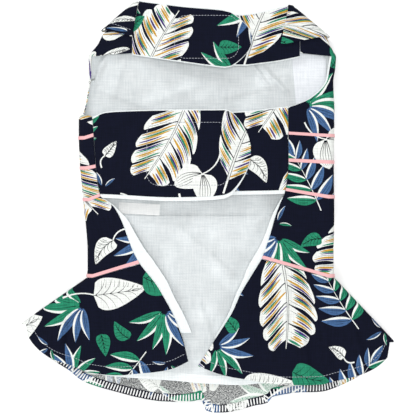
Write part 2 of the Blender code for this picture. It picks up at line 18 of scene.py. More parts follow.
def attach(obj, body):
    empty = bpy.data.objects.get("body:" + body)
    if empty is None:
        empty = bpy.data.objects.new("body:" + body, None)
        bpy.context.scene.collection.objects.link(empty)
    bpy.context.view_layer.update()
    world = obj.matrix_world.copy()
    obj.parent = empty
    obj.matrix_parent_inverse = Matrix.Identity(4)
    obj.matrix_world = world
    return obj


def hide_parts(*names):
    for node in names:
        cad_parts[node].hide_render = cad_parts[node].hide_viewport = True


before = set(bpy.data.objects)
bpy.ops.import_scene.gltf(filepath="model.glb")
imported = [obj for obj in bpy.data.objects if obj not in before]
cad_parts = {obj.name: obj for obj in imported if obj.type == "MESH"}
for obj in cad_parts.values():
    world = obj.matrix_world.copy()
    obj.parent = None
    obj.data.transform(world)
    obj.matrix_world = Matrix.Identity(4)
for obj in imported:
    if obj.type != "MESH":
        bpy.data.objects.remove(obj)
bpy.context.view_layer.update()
MM = 0.001

# Lengths down the dress and widths across it.
COLLAR_HEIGHT, SHOULDER_HEIGHT, ARMHOLE_HEIGHT = 26.8, 15.0, 51.0
SIDE_HEIGHT, SKIRT_LENGTH = 128.2, 109.0
HALF_CHEST, HALF_HEM = 101.0, 149.5
Y_TOP = (COLLAR_HEIGHT + SHOULDER_HEIGHT + ARMHOLE_HEIGHT + SIDE_HEIGHT + SKIRT_LENGTH) / 2
Y_SEAM = Y_TOP - COLLAR_HEIGHT
Y_NECK = Y_SEAM - SHOULDER_HEIGHT
Y_SIDE = Y_NECK - ARMHOLE_HEIGHT
Y_WAIST = Y_SIDE - SIDE_HEIGHT
SECTION = {
    "shoulder": (Y_SEAM, SHOULDER_HEIGHT),
    "armhole": (Y_NECK, ARMHOLE_HEIGHT),
    "side": (Y_SIDE, SIDE_HEIGHT),
}

# Thicknesses, clearances and heights.
CLOTH, GAP, TAPE = 1.0, 0.3, 1.2
RIBBON_THICKNESS, RIBBON_WIDTH, THIN_RIBBON = 1.0, 2.8, 0.4
COLLAR_ROLL = 2.4
LEAF_WIDTH, LEAF_DROOP = {-1: 21.5, 1: 24.0}, 5.0
NECK_LOFT, CHEST_LOFT, HEM_LOFT = 6.5, 9.0, 6.5
NECK_CROWN, CHEST_CROWN, HEM_CROWN = 4.5, 8.0, 1.0
CROWN_REACH = (0.62, 0.90, 0.90)
NECK_TOP_DIP, NECK_STRAP_SAG, WAIST_RISE = 10.0, 11.5, 15.5
GATHER_DEPTH, FRONT_GATHER_DEPTH = 4.0, 2.5
GATHERS, FRONT_GATHERS = 8, 3
WAIST_PUCKER, WAIST_PUCKERS = 0.55, 15
FRONT_CREASE, BACK_CREASE = 0.9, 1.1
CREASE_LENGTH = 46.0

# Straps: reach from the seam, overlap, and the stitched patch's width, height and distance to end.
NECK_STRAP = {"reach": 95.0, "overlap": 65.0, "patch": (50.8, 34.0), "to_end": 10.4}
BELLY_STRAP = {"reach": 124.0, "overlap": 86.0, "patch": (65.0, 49.6), "to_end": 17.3}
BELLY_WIDTH, BELLY_DROP = 66.0, 28.4
STRAP_ROUNDING, STRAP_INSET = 21.0, 2.0
PATCH_ROUNDING = 9.0
STRAP_FACING_REVEAL, STRAP_BINDING_REVEAL, BINDING_REVEAL = 3.0, 0.9, 1.4
STRAP_END = (
    (0.00, 1.00), (0.20, 0.965), (0.40, 0.86), (0.60, 0.71), (0.80, 0.51), (0.92, 0.34), (1.00, 0.14),
)

# How finely cloth is divided, and how its edges are pressed thin.
STEP = 2.0
PRESSED_EDGE = 0.45

# Body panel. Columns: section, share of it down, then left fold, left edge, right edge and right
# fold as shares of half the chest, then the rise of each front edge as a share of WAIST_RISE.
ARMHOLE_CORNER = 0.86
BODY_ROWS = (
    ("shoulder", 0.00, -0.832, -0.599, 0.731, 0.931, 0.00, 0.00),
    ("shoulder", 0.50, -0.870, -0.599, 0.731, 0.965, 0.00, 0.00),
    ("shoulder", 0.97, -0.927, -0.601, 0.735, 1.000, 0.00, 0.00),
    ("armhole", 0.04, -0.941, -0.921, 0.979, 1.014, 0.00, 0.00),
    ("armhole", 0.22, -0.941, -0.924, 0.965, 1.008, 0.00, 0.00),
    ("armhole", 0.42, -0.941, -0.926, 0.946, 0.992, 0.00, 0.00),
    ("armhole", 0.54, -0.944, -0.940, 0.908, 0.993, 0.00, 0.00),
    ("armhole", 0.72, -0.957, -0.955, 0.800, 0.998, 0.00, 0.00),
    ("armhole", 0.81, -0.966, -0.964, 0.695, 1.000, 0.00, 0.00),
    ("armhole", ARMHOLE_CORNER, -0.972, -0.970, 0.634, 1.000, 0.00, 0.00),
    ("armhole", 0.96, -0.994, -0.984, 0.634, 1.000, 0.00, 0.00),
    ("side", 0.00, -1.020, -0.919, 0.634, 1.000, 0.06, 0.00),
    ("side", 0.12, -1.020, -0.905, 0.637, 1.000, 0.15, 0.12),
    ("side", 0.30, -1.010, -0.888, 0.637, 0.996, 0.09, 0.10),
    ("side", 0.51, -0.986, -0.853, 0.610, 0.999, 0.24, 0.40),
    ("side", 0.60, -0.975, -0.745, 0.570, 1.000, 0.36, 0.52),
    ("side", 0.70, -0.960, -0.682, 0.530, 0.998, 0.46, 0.64),
    ("side", 0.83, -0.950, -0.627, 0.490, 0.994, 0.58, 0.80),
    ("side", 0.93, -0.950, -0.582, 0.454, 0.995, 0.68, 0.92),
    ("side", 1.00, -0.955, -0.535, 0.423, 1.000, 0.74, 1.00),
)

# Hem outlines. Columns: across as a share of half the hem, down as a share of SKIRT_LENGTH.
HEM_FRONT_LEFT = (
    (-1.000, 0.340), (-0.931, 0.490), (-0.847, 0.580), (-0.720, 0.648), (-0.641, 0.692),
    (-0.486, 0.712), (-0.335, 0.696), (-0.190, 0.662), (-0.104, 0.609),
)
HEM_FRONT_RIGHT = (
    (-0.053, 0.644), (0.076, 0.706), (0.164, 0.732), (0.313, 0.770), (0.425, 0.785),
    (0.595, 0.785), (0.687, 0.756), (0.850, 0.692), (0.970, 0.571), (1.000, 0.473),
)
HEM_BACK = (
    (-1.000, 0.340), (-0.930, 0.500), (-0.850, 0.590), (-0.748, 0.688), (-0.684, 0.756),
    (-0.575, 0.811), (-0.479, 0.853), (-0.375, 0.883), (-0.228, 0.919), (-0.121, 0.917),
    (-0.031, 0.905), (-0.014, 0.982), (0.036, 1.000), (0.143, 0.985), (0.255, 0.949),
    (0.327, 0.919), (0.340, 0.884), (0.433, 0.859), (0.617, 0.839), (0.687, 0.815),
    (0.780, 0.756), (0.849, 0.692), (0.960, 0.580), (1.000, 0.473),
)
# Front edges of the skirt. Columns: share of the way down, bulge as a share of half the hem.
SKIRT_EDGE_LEFT = ((0.00, 0.000), (0.25, 0.036), (0.50, 0.044), (0.72, 0.034), (1.00, 0.000))
SKIRT_EDGE_RIGHT = ((0.00, 0.000), (0.28, -0.004), (0.52, 0.012), (0.76, 0.006), (1.00, 0.000))

# Neck edges. Columns: across as a share of half the chest, down as a share of the named depth.
NECK_TOP = (
    (-0.550, 0.00), (-0.473, 0.15), (-0.172, 0.60), (0.105, 0.85), (0.248, 1.00), (0.422, 0.78),
    (0.683, 0.24),
)
NECK_BOTTOM = (
    (-0.592, 0.02), (-0.220, 0.57), (0.030, 0.88), (0.145, 0.98), (0.297, 0.96), (0.430, 0.78),
    (0.731, 0.16),
)
# The collar as shares of half the chest. Columns: side, front edge at the top, fold at the top,
# then the leaf's fold and front edge at its bottom.
COLLAR_SIDES = {
    -1: (-0.550, -0.577, -0.822, -0.599),
    1: (0.636, 0.660, 0.944, 0.574),
}
# Belly strap outline. Columns: across as a share of half the chest, then its lower and its upper
# edge as shares of half the strap's width.
BELLY_EDGES = (
    (-0.905, -0.990, 0.850), (-0.806, -1.000, 0.965), (-0.703, -1.015, 0.985),
    (-0.277, -1.076, 1.000), (0.000, -1.058, 1.000), (0.198, -0.994, 1.010),
    (0.327, -0.965, 1.020), (0.632, -0.890, 1.095),
)
# Ribbons. Columns: node, then the share of SIDE_HEIGHT down at each fold.
RIBBONS = (
    ("ribbon_chest", 0.128, 0.112),
    ("ribbon_belly", 0.316, 0.278),
    ("ribbon_side", 0.512, 0.494),
)
# Front facings. Columns: share of the way down, reach past the printed edge as a share.
FACING_REACH, FACING_TUCK, FACING_START = 12.4, 6.0, 0.5
FACING_LEFT = (
    (0.00, 0.06), (0.08, 0.14), (0.16, 0.42), (0.25, 0.56), (0.36, 0.78), (0.48, 1.00),
    (0.56, 0.92), (0.76, 0.66), (1.00, 0.70),
)
FACING_RIGHT = (
    (0.00, 0.06), (0.12, 0.22), (0.30, 0.36), (0.46, 0.58), (0.60, 0.34), (0.80, 0.20), (1.00, 0.10),
)
FACING_DEPTH = {-1: 0.40, 1: 0.44}
# Lower edge of the skirt's lining. Columns: across as a share of half the hem, down as a share.
LINING_HEM = (
    (-0.660, 0.690), (-0.537, 0.722), (-0.271, 0.750), (-0.132, 0.764), (-0.050, 0.776),
    (0.172, 0.790), (0.305, 0.774), (0.480, 0.760), (0.640, 0.740),
)
LINING_TOP, LINING_SHOULDER, LINING_HEM_BAND = 0.614, 0.86, 7.0
LABEL_SIZE, LABEL_ACROSS, LABEL_TILT = (33.0, 9.0), -0.545, math.radians(-3)

# Sewing. Stitches lie end to end with a small dip of cloth between them.
STITCH_LENGTH, STITCH_PITCH, STITCH_WIDTH = 2.05, 2.3, 0.40
HEM_STITCH_IN, COLLAR_STITCH_IN = 6.6, 4.6
TURNED_HEM, OVERLOCK_PITCH, OVERLOCK_THREAD = 6.4, 2.4, 1.15
OVERLOCK_FROM, OVERLOCK_TO = 0.9, 5.6

# Finishes, as the eye sees them in daylight.
HEX = {
    "navy": "#101324",
    "green": "#2A8B69",
    "blue": "#486A98",
    "white": "#E9ECE8",
    "ochre": "#CFA03C",
    "purple": "#472C7C",
    "ink": "#12141C",
    "lining": "#E1E5E6",
    "ribbon": "#E8B6B7",
    "thread": "#A9ADB6",
    "label": "#EEEFEE",
    "floor": "#FFFFFF",
}
PRINT_COLOURS = ("navy", "green", "blue", "white", "ochre", "purple", "ink")
# How much of a colour comes through to the cloth's wrong side.
SHOW_THROUGH = {
    "navy": 0.62, "green": 0.40, "blue": 0.40, "white": 1.0, "ochre": 0.35, "purple": 0.4, "ink": 0.35,
}


def mix(low, high, share):
    return low + (high - low) * share


def clamp(value):
    return min(1.0, max(0.0, value))


def smooth(share):
    share = clamp(share)
    return share * share * (3 - 2 * share)


def ripple(turns):
    return 0.5 - 0.5 * math.cos(2 * math.pi * turns)


class Curve:
    """A smooth line through a table's points that never overshoots them."""

    def __init__(self, across, values):
        self.x = np.array(across, float)
        self.y = np.array(values, float)
        width = np.diff(self.x)
        slope = np.diff(self.y) / width
        bend = np.zeros(len(self.x))
        for k in range(1, len(self.x) - 1):
            if slope[k - 1] * slope[k] > 0:
                a = 2 * width[k] + width[k - 1]
                b = width[k] + 2 * width[k - 1]
                bend[k] = (a + b) / (a / slope[k - 1] + b / slope[k])
        bend[0], bend[-1] = slope[0], slope[-1]
        self.bend = bend

    def __call__(self, x):
        x = min(max(x, self.x[0]), self.x[-1])
        k = min(int(np.searchsorted(self.x, x, side="right")) - 1, len(self.x) - 2)
        width = self.x[k + 1] - self.x[k]
        t = (x - self.x[k]) / width
        low = (1 + 2 * t) * (1 - t) ** 2 * self.y[k] + t * (1 - t) ** 2 * width * self.bend[k]
        high = t * t * (3 - 2 * t) * self.y[k + 1] + t * t * (t - 1) * width * self.bend[k + 1]
        return low + high


def curve_of(table, column=1, along=1.0, scale=1.0):
    return Curve([row[0] * along for row in table], [row[column] * scale for row in table])


# Heights of the cloth's middle surface.
def crease(x, y, seed, height):
    """A soft crease, from 0 up, longer down the dress than across it."""
    place = Vector((x / CREASE_LENGTH, y / (CREASE_LENGTH * 1.5), seed))
    fine = Vector((x / 15.0 + y / 60.0, y / 40.0, seed + 7.0))
    value = 0.5 + 0.42 * noise.noise(place) + 0.16 * noise.noise(fine)
    return height * clamp(value)


# Pressed folds. Columns: start x and y, end x and y, height and half width of the fold.
BACK_FOLDS = (
    (-79, 128, -93, 96, 3.0, 1.8), (-68, 118, -76, 92, 1.3, 2.6), (37, 114, 46, 101, 2.2, 1.5),
    (47, 110, 60, 96, 2.2, 2.0), (-88, 96, -56, 84, 1.3, 2.6), (14, 90, 52, 99, 1.2, 3.0),
    (-46, 86, -4, 98, 1.0, 3.4), (-30, 118, -12, 100, 0.9, 3.0),
)
LINING_FOLDS = (
    (-58, -16, -30, -70, 1.9, 3.0), (-20, -20, 16, -52, 1.6, 3.4), (52, -12, 30, -58, 1.8, 2.6),
    (-10, -70, 6, -118, 2.0, 3.0), (-66, -14, 58, -19, 0.9, 2.4), (-34, -92, -18, -130, 1.6, 2.4),
    (4, -30, -8, -84, 1.2, 3.2),
)
FRONT_FOLDS = {
    -1: (
        (-108, -66, -115, -106, 3.2, 1.1), (-127, -86, -147, -90, 2.8, 1.2),
        (-88, -60, -80, -118, 2.0, 3.6), (-62, -58, -48, -112, 1.7, 4.0), (-101, -58, -121, -74, 1.8, 1.8),
        (-127, -92, -133, -108, 1.6, 3.0), (-70, -110, -66, -132, 1.3, 2.8),
    ),
    1: (
        (108, -66, 124, -120, 2.6, 3.0), (88, -60, 96, -128, 2.2, 3.6), (62, -56, 58, -122, 1.9, 4.2),
        (122, -84, 144, -108, 2.2, 2.2), (38, -58, 24, -112, 1.5, 4.0), (76, -104, 80, -138, 1.5, 2.8),
    ),
}


def folds(table, x, y):
    """Height from the pressed folds near a place. Each dies away beyond its ends."""
    height = 0.0
    for x0, y0, x1, y1, high, half in table:
        run_x, run_y = x1 - x0, y1 - y0
        length = math.hypot(run_x, run_y)
        along = ((x - x0) * run_x + (y - y0) * run_y) / length
        aside = abs((x - x0) * run_y - (y - y0) * run_x) / length
        past = max(-along, along - length, 0.0)
        height += high * math.exp(-((aside / half) ** 2) - (past / 6.0) ** 2)
    return height


def panel_seam_x(y):
    """Where the lining's side panel laps over its middle one."""
    return 67.9 + (118.8 - y) * 0.089


def seam_dip(x, y):
    """The middle panel sinks towards that seam."""
    past = x - panel_seam_x(y)
    return -1.2 * smooth((past + 7) / 6.5) * smooth((22 - past) / 18) * smooth((y - 72) / 10) * smooth((134 - y) / 8)


def back_level(y):
    at_neck = COLLAR_ROLL + CLOTH / 2
    on_ribbons = RIBBON_THICKNESS + GAP + CLOTH / 2
    if y > Y_WAIST:
        return mix(on_ribbons, at_neck, smooth((y - Y_SIDE) / ARMHOLE_HEIGHT))
    return mix(on_ribbons, CLOTH / 2, clamp((Y_WAIST - y) / SKIRT_LENGTH))


def along_dress(y, neck, chest, hem):
    if y > Y_WAIST:
        return mix(chest, neck, smooth((y - Y_SIDE) / ARMHOLE_HEIGHT))
    return mix(chest, hem, clamp((Y_WAIST - y) / SKIRT_LENGTH))


def loft(y):
    return along_dress(y, NECK_LOFT, CHEST_LOFT, HEM_LOFT)


def crown(x, y):
    half = along_dress(y, *(share * HALF_CHEST for share in CROWN_REACH))
    height = along_dress(y, NECK_CROWN, CHEST_CROWN, HEM_CROWN)
    return height * (1 - min(1.0, abs(x) / half) ** 2) ** 2


def back_height(x, y):
    """The back, with creases that fade out towards its side folds and at the collar."""
    fade = smooth((90 - abs(x)) / 16) * smooth((Y_SEAM - y) / 8)
    pressed = smooth((93 - abs(x)) / 6) * smooth((Y_SEAM - y) / 8)
    soft = fade * crease(x, y, 3.1, BACK_CREASE) + pressed * folds(BACK_FOLDS, x, y)
    return back_level(y) + soft + seam_dip(x, y)


def front_height(x, y):
    fade = smooth((84 - abs(x)) / 20)
    return back_level(y) + loft(y) + crown(x, y) + fade * crease(x, y, 11.7, FRONT_CREASE)


# Rows that run from the left front edge, round the back, to the right front edge.
def side_points(side, fold, edge, y_fold, y_edge, level, turn_columns, front_columns):
    inward = -side
    low = back_level(y_fold) - level
    high = back_level(y_fold) + loft(y_fold) + level
    radius = (high - low) / 2
    centre = fold + side * level + inward * radius
    reach = (edge - centre) * inward
    if reach > 0:
        arc, front = math.pi * radius, reach
    else:
        arc, front = radius * (math.pi / 2 + math.acos(clamp(-reach / radius))), 0.0
    total = arc + front
    turn = min(arc, 0.7 * total)
    lengths = [turn * k / turn_columns for k in range(turn_columns + 1)]
    lengths += [mix(turn, total, k / front_columns) for k in range(1, front_columns + 1)]
    points = []
    for length in lengths:
        if length <= arc + 1e-6:
            angle = length / radius - math.pi / 2
            x = centre - inward * radius * math.cos(angle)
            points.append((x, y_fold, low + radius + radius * math.sin(angle)))
        else:
            x = centre + inward * (length - arc)
            y = mix(y_fold, y_edge, (length - arc) / front)
            points.append((x, y, front_height(x, y) + level))
    return points


def loop_row(left, right, back_y, level=0.0, turn=12, front=30, back=70):
    left_points = side_points(-1, *left, level, turn, front)
    right_points = side_points(1, *right, level, turn, front)
    start, end = left_points[0][0], right_points[0][0]
    middle = []
    for k in range(1, back):
        x = mix(start, end, k / back)
        y = back_y(x)
        middle.append((x, y, back_height(x, y) - level))
    return left_points[::-1] + middle + right_points


def body_curves():
    """Curves over the number of the body's table row, and curves over -y for its edges."""
    numbers, columns = range(len(BODY_ROWS)), [[] for _ in range(7)]
    for section, down, left_fold, left_edge, right_edge, right_fold, left_up, right_up in BODY_ROWS:
        start, length = SECTION[section]
        y = start - length * down
        found = (
            y, left_fold * HALF_CHEST, left_edge * HALF_CHEST, right_edge * HALF_CHEST,
            right_fold * HALF_CHEST, y + left_up * WAIST_RISE, y + right_up * WAIST_RISE,
        )
        for column, value in zip(columns, found):
            column.append(value)
    return [Curve(numbers, column) for column in columns], columns


BODY, BODY_COLUMNS = body_curves()
BODY_AT = Curve([-y for y in BODY_COLUMNS[0]], range(len(BODY_ROWS)))
EDGE_LEFT = Curve([-y for y in BODY_COLUMNS[5]], BODY_COLUMNS[2])
EDGE_RIGHT = Curve([-y for y in BODY_COLUMNS[6]], BODY_COLUMNS[3])


def body_side(number, side):
    fold, edge, edge_y = (1, 2, 5) if side < 0 else (4, 3, 6)
    return BODY[fold](number), BODY[edge](number), BODY[0](number), BODY[edge_y](number)


def body_row(left_number, right_number, level=0.0, **columns):
    left, right = body_side(left_number, -1), body_side(right_number, 1)

    def back_y(x):
        return mix(left[2], right[2], (x - left[0]) / (right[0] - left[0]))

    return loop_row(left, right, back_y, level, back=108, **columns)


def steps_between(low, high, longest):
    return max(2, math.ceil(abs(high - low) / longest))


def body_grid():
    rows = []
    for k in range(len(BODY_ROWS) - 1):
        count = steps_between(BODY_COLUMNS[0][k], BODY_COLUMNS[0][k + 1], STEP)
        rows += [body_row(k + i / count, k + i / count) for i in range(count)]
    rows.append(body_row(len(BODY_ROWS) - 1, len(BODY_ROWS) - 1))
    return rows


# Skirt.
def skirt_side_curves(side):
    if side < 0:
        return curve_of(HEM_FRONT_LEFT, 1, HALF_HEM, SKIRT_LENGTH), HEM_FRONT_LEFT[-1][0], SKIRT_EDGE_LEFT
    return curve_of(HEM_FRONT_RIGHT, 1, HALF_HEM, SKIRT_LENGTH), HEM_FRONT_RIGHT[0][0], SKIRT_EDGE_RIGHT


def skirt_side_rows(side, rows, turn, front):
    """Rows of the skirt from the back of one side fold to its front edge."""
    hem_curve, edge_share, edge_table = skirt_side_curves(side)
    bulge = curve_of(edge_table, 1, 1.0, HALF_HEM)
    last = len(BODY_ROWS) - 1
    waist = side_points(side, *body_side(last, side), 0.0, turn, front)
    fold = side * HALF_HEM
    y_fold = Y_WAIST - hem_curve(fold)
    hem = side_points(side, fold, edge_share * HALF_HEM, y_fold, y_fold, 0.0, turn, front)
    found = []
    for r in range(rows + 1):
        t = r / rows
        row = []
        for k, (top, low) in enumerate(zip(waist, hem)):
            low_y = low[1] if k <= turn else Y_WAIST - hem_curve(low[0])
            x, y, z = mix(top[0], low[0], t), mix(top[1], low_y, t), mix(top[2], low[2], t)
            share = max(0, k - turn) / front
            if share > 0:
                x += bulge(t) * share * share
                stand_off = t * FRONT_GATHER_DEPTH * ripple(FRONT_GATHERS * share)
                pucker = WAIST_PUCKER * ripple(WAIST_PUCKERS * share) * smooth(6 * t) * (1 - t) ** 3
                settle = crease(x, y, 5.3, 1.0) + folds(FRONT_FOLDS[side], x, y)
                settle *= smooth(share * 6) * smooth(t * 4)
                z = front_height(x, y) + stand_off + pucker + settle
            row.append((x, y - GAP * (1 - t), z))
        found.append(row)
    return found


def skirt_back_rows(left, right, rows, back):
    hem_curve = Curve([r[0] * HALF_HEM for r in HEM_BACK], [r[1] * SKIRT_LENGTH for r in HEM_BACK])
    grid = []
    for r in range(rows + 1):
        t = r / rows
        row = []
        for k in range(back + 1):
            share = k / back
            hem_x = mix(left[-1][0][0], right[-1][0][0], share)
            x = mix(mix(left[0][0][0], right[0][0][0], share), hem_x, t)
            y = mix(Y_WAIST - GAP, Y_WAIST - hem_curve(hem_x), t)
            row.append((x, y, back_level(y) + t * GATHER_DEPTH * ripple(GATHERS * share)))
        row[0], row[-1] = left[r][0], right[r][0]
        grid.append(row)
    return grid


def skirt_chart(side, grid, turn):
    """A flap's flat places: plan on its front, and the run round its side from there."""
    space = np.array(grid)
    flat = space[:, :, :2].copy()
    run = np.linalg.norm(np.diff(space[:, :turn + 2][:, :, [0, 2]], axis=1), axis=2)
    flat[:, :turn + 1, 0] = flat[:, turn + 1:turn + 2, 0] + side * np.cumsum(run[:, ::-1], axis=1)[:, ::-1]
    return flat


# Collar.
NECK_TOP_CURVE = curve_of(NECK_TOP, 1, HALF_CHEST, NECK_TOP_DIP)
NECK_BOTTOM_CURVE = curve_of(NECK_BOTTOM, 1, HALF_CHEST, NECK_STRAP_SAG)


def neck_top(x):
    return Y_TOP - NECK_TOP_CURVE(x)


def neck_bottom(x):
    return Y_NECK - NECK_BOTTOM_CURVE(x)


def stand_edge(side, share):
    seam = BODY_COLUMNS[2 if side < 0 else 3][0]
    return mix(seam, COLLAR_SIDES[side][0] * HALF_CHEST, share)


def stand_top(x):
    return neck_top(x) - (COLLAR_ROLL + CLOTH) / 2


def collar_row(share, level, over, leaf):
    def y_at(x):
        across = smooth((x + HALF_CHEST) / (2 * HALF_CHEST))
        low = stand_top(x) - mix(LEAF_WIDTH[-1], LEAF_WIDTH[1], across) if leaf else Y_SEAM + GAP
        return mix(low, stand_top(x), share) + over

    sides = []
    for side in (-1, 1):
        top_edge, top_fold, leaf_fold, leaf_edge = (s * HALF_CHEST for s in COLLAR_SIDES[side])
        seam_fold = BODY_COLUMNS[1 if side < 0 else 4][0]
        fold = mix(leaf_fold if leaf else seam_fold, top_fold, share)
        edge = mix(leaf_edge, top_edge, share) if leaf else stand_edge(side, share)
        droop = LEAF_DROOP * (1 - share) if leaf else 0.0
        sides.append((fold, edge, y_at(fold), y_at(edge) - droop))
    return loop_row(*sides, y_at, level)


def collar_grid():
    stand, roll, leaf = 12, 8, 12
    rows = [collar_row(k / stand, 0.0, 0.0, False) for k in range(stand + 1)]
    for k in range(1, roll):
        angle = math.pi * k / roll
        level = COLLAR_ROLL / 2 * (1 - math.cos(angle))
        rows.append(collar_row(1.0, level, COLLAR_ROLL / 2 * math.sin(angle), False))
    rows += [collar_row(1 - k / leaf, COLLAR_ROLL, 0.0, True) for k in range(leaf + 1)]
    return rows


# Cloth that wraps round, from a grid of points.
class Wrap:
    """A grid of points in space with each one's place on the flat cloth."""

    def __init__(self, rows, down=None, flat=None):
        """down gives each row's place down the flat cloth. Without it that place is -y."""
        self.space = np.array(rows, float)
        across = np.linalg.norm(np.diff(self.space[:, :, [0, 2]], axis=1), axis=2)
        run = np.concatenate([np.zeros((len(rows), 1)), np.cumsum(across, axis=1)], axis=1)
        middle = self.space.shape[1] // 2
        run -= run[:, middle:middle + 1] - self.space[:, middle:middle + 1, 0]
        depth = self.space[:, :, 1] if down is None else np.repeat(
            -np.array(down)[:, None], self.space.shape[1], axis=1
        )
        self.flat = np.stack([run, depth], axis=2) if flat is None else flat
        self.normal = self.normals()
        self.tree, self.corners = self.search_tree()

    def normals(self):
        across = np.gradient(self.space, axis=1)
        down = np.gradient(self.space, axis=0)
        normal = np.cross(across, down)
        if self.faces_up():
            normal = -normal
        return normal / np.maximum(np.linalg.norm(normal, axis=2, keepdims=True), 1e-9)

    def faces_up(self):
        """Whether the outer face would point into the dress with the rows as they run."""
        return False

    def search_tree(self):
        height, width = self.flat.shape[:2]
        places = [(float(s), float(t), 0.0) for s, t in self.flat.reshape(-1, 2)]
        corners = []
        for i in range(height - 1):
            for j in range(width - 1):
                a, b = i * width + j, (i + 1) * width + j
                corners.append((a, a + 1, b + 1))
                corners.append((a, b + 1, b))
        return BVHTree.FromPolygons(places, corners, epsilon=0.0), corners

    def border(self):
        flat = self.flat
        return np.concatenate([flat[0], flat[1:, -1], flat[-1, -2::-1], flat[-2:0:-1, 0]])

    def inner_points(self):
        return self.flat[1:-1, 1:-1].reshape(-1, 2)

    def at(self, s, t):
        """The point in space and the normal at a place on the flat cloth."""
        place, _, index, _ = self.tree.find_nearest((s, t, 0.0))
        ids = self.corners[index]
        flat, space = self.flat.reshape(-1, 2), self.space.reshape(-1, 3)
        a, b, c = (Vector((*flat[k], 0.0)) for k in ids)
        point = barycentric_transform(place, a, b, c, *(Vector(space[k]) for k in ids))
        normal = self.normal.reshape(-1, 3)
        direction = barycentric_transform(place, a, b, c, *(Vector(normal[k]) for k in ids))
        return point, direction.normalized()


class Lying:
    """Cloth that lies over what is below it, so that its flat place is its place in plan."""

    def __init__(self, outline, height_at, step=STEP):
        self.outline = np.array(outline, float)
        self.height_at = height_at
        self.step = step

    def border(self):
        points = []
        for a, b in zip(self.outline, np.roll(self.outline, -1, axis=0)):
            count = max(1, math.ceil(np.linalg.norm(b - a) / self.step))
            points += [mix(a, b, k / count) for k in range(count)]
        return np.array(points)

    def inner_points(self):
        low, high = self.outline.min(0), self.outline.max(0)
        xs = np.arange(low[0] + self.step / 2, high[0], self.step)
        ys = np.arange(low[1] + self.step / 2, high[1], self.step)
        grid = np.array([(x, y) for x in xs for y in ys])
        return grid[inside(self.border(), grid, self.step * 0.35)]

    def at(self, x, y):
        z, h = self.height_at(x, y), 0.2
        slope_x = (self.height_at(x + h, y) - z) / h
        slope_y = (self.height_at(x, y + h) - z) / h
        return Vector((x, y, z)), Vector((-slope_x, -slope_y, 1.0)).normalized()


def inside(border, points, margin):
    """Which points lie within the border, further than margin from it."""
    a, b = border, np.roll(border, -1, axis=0)
    x, y = points[:, :1], points[:, 1:]
    crosses = (a[:, 1] > y) != (b[:, 1] > y)
    rise = np.where(b[:, 1] == a[:, 1], 1e-9, b[:, 1] - a[:, 1])
    odd = (crosses & (x < (b[:, 0] - a[:, 0]) * (y - a[:, 1]) / rise + a[:, 0])).sum(1) % 2 == 1
    run = b - a
    length = np.maximum((run ** 2).sum(1), 1e-12)
    share = np.clip(((x - a[:, 0]) * run[:, 0] + (y - a[:, 1]) * run[:, 1]) / length, 0, 1)
    gap = np.hypot(x - a[:, 0] - share * run[:, 0], y - a[:, 1] - share * run[:, 1]).min(1)
    return odd & (gap > margin)


# Print: leaves of the designer's own drawing, laid out on a bolt of cloth that repeats.
REPEAT = 300.0
LEAF_STEPS = 12
BOLT_SEED = 20


def turned(points, angle, x, y, scale=1.0):
    cos, sin = math.cos(angle) * scale, math.sin(angle) * scale
    points = np.asarray(points, float)
    turned_x = points[:, 0] * cos - points[:, 1] * sin + x
    turned_y = points[:, 0] * sin + points[:, 1] * cos + y
    return np.column_stack([turned_x, turned_y])


def stroke(points, width, end_width=0.15):
    """A drawn line that starts at its width and thins out towards its end."""
    points = np.asarray(points, float)
    along = np.gradient(points, axis=0)
    along /= np.maximum(np.linalg.norm(along, axis=1, keepdims=True), 1e-9)
    across = np.column_stack([-along[:, 1], along[:, 0]])
    half = np.linspace(width, end_width, len(points))[:, None] / 2
    return np.concatenate([points + across * half, (points - across * half)[::-1]])


def bow(start, end, height, count=6):
    start, end = np.array(start, float), np.array(end, float)
    t = np.linspace(0, 1, count)[:, None]
    across = np.array([-(end - start)[1], (end - start)[0]])
    across /= max(np.linalg.norm(across), 1e-9)
    return start + (end - start) * t + across * height * 4 * t * (1 - t)


class Blade:
    """A leaf's blade along X, with a bowed midrib and a width that follows a power of a sine."""

    def __init__(self, length, width, bend, base=0.8, fullness=0.9):
        self.length, self.width, self.bend = length, width, bend
        self.base, self.fullness = base, fullness

    def point(self, along, out):
        """out runs from -1 at one margin to 1 at the other."""
        half = self.width / 2 * max(0.0, math.sin(math.pi * along ** self.base)) ** self.fullness
        return (self.length * along, self.bend * math.sin(math.pi * along) + out * half)

    def strip(self, low, high, start=0.0, end=1.0, steps=LEAF_STEPS):
        alongs = [mix(start, end, k / steps) for k in range(steps + 1)]
        up = [self.point(a, high if np.isscalar(high) else mix(*high, k / steps))
              for k, a in enumerate(alongs)]
        down = [self.point(a, low if np.isscalar(low) else mix(*low, k / steps))
                for k, a in enumerate(alongs)]
        return np.array(up + down[::-1])

    def rib(self, start, end, width, out=0.0, steps=8):
        line = [self.point(mix(start, end, k / steps), out) for k in range(steps + 1)]
        return stroke(line, width)

    def side_vein(self, start, end, side, out, width=0.34, lift=0.8):
        line = bow(self.point(start, 0.0), self.point(end, side * out), -side * lift)
        return stroke(line, width)


def lance_leaf(colour, length, width, bend, side):
    blade = Blade(length, width, bend)
    return [
        (colour, blade.strip(-1, 1)),
        ("white", blade.strip(0.5 * side, 1.0 * side, 0.06, 0.97)),
        ("ink", blade.rib(0.08, 0.78, 0.5)),
        ("ink", blade.rib(0.3, 0.6, 0.34, -0.5 * side)),
    ]


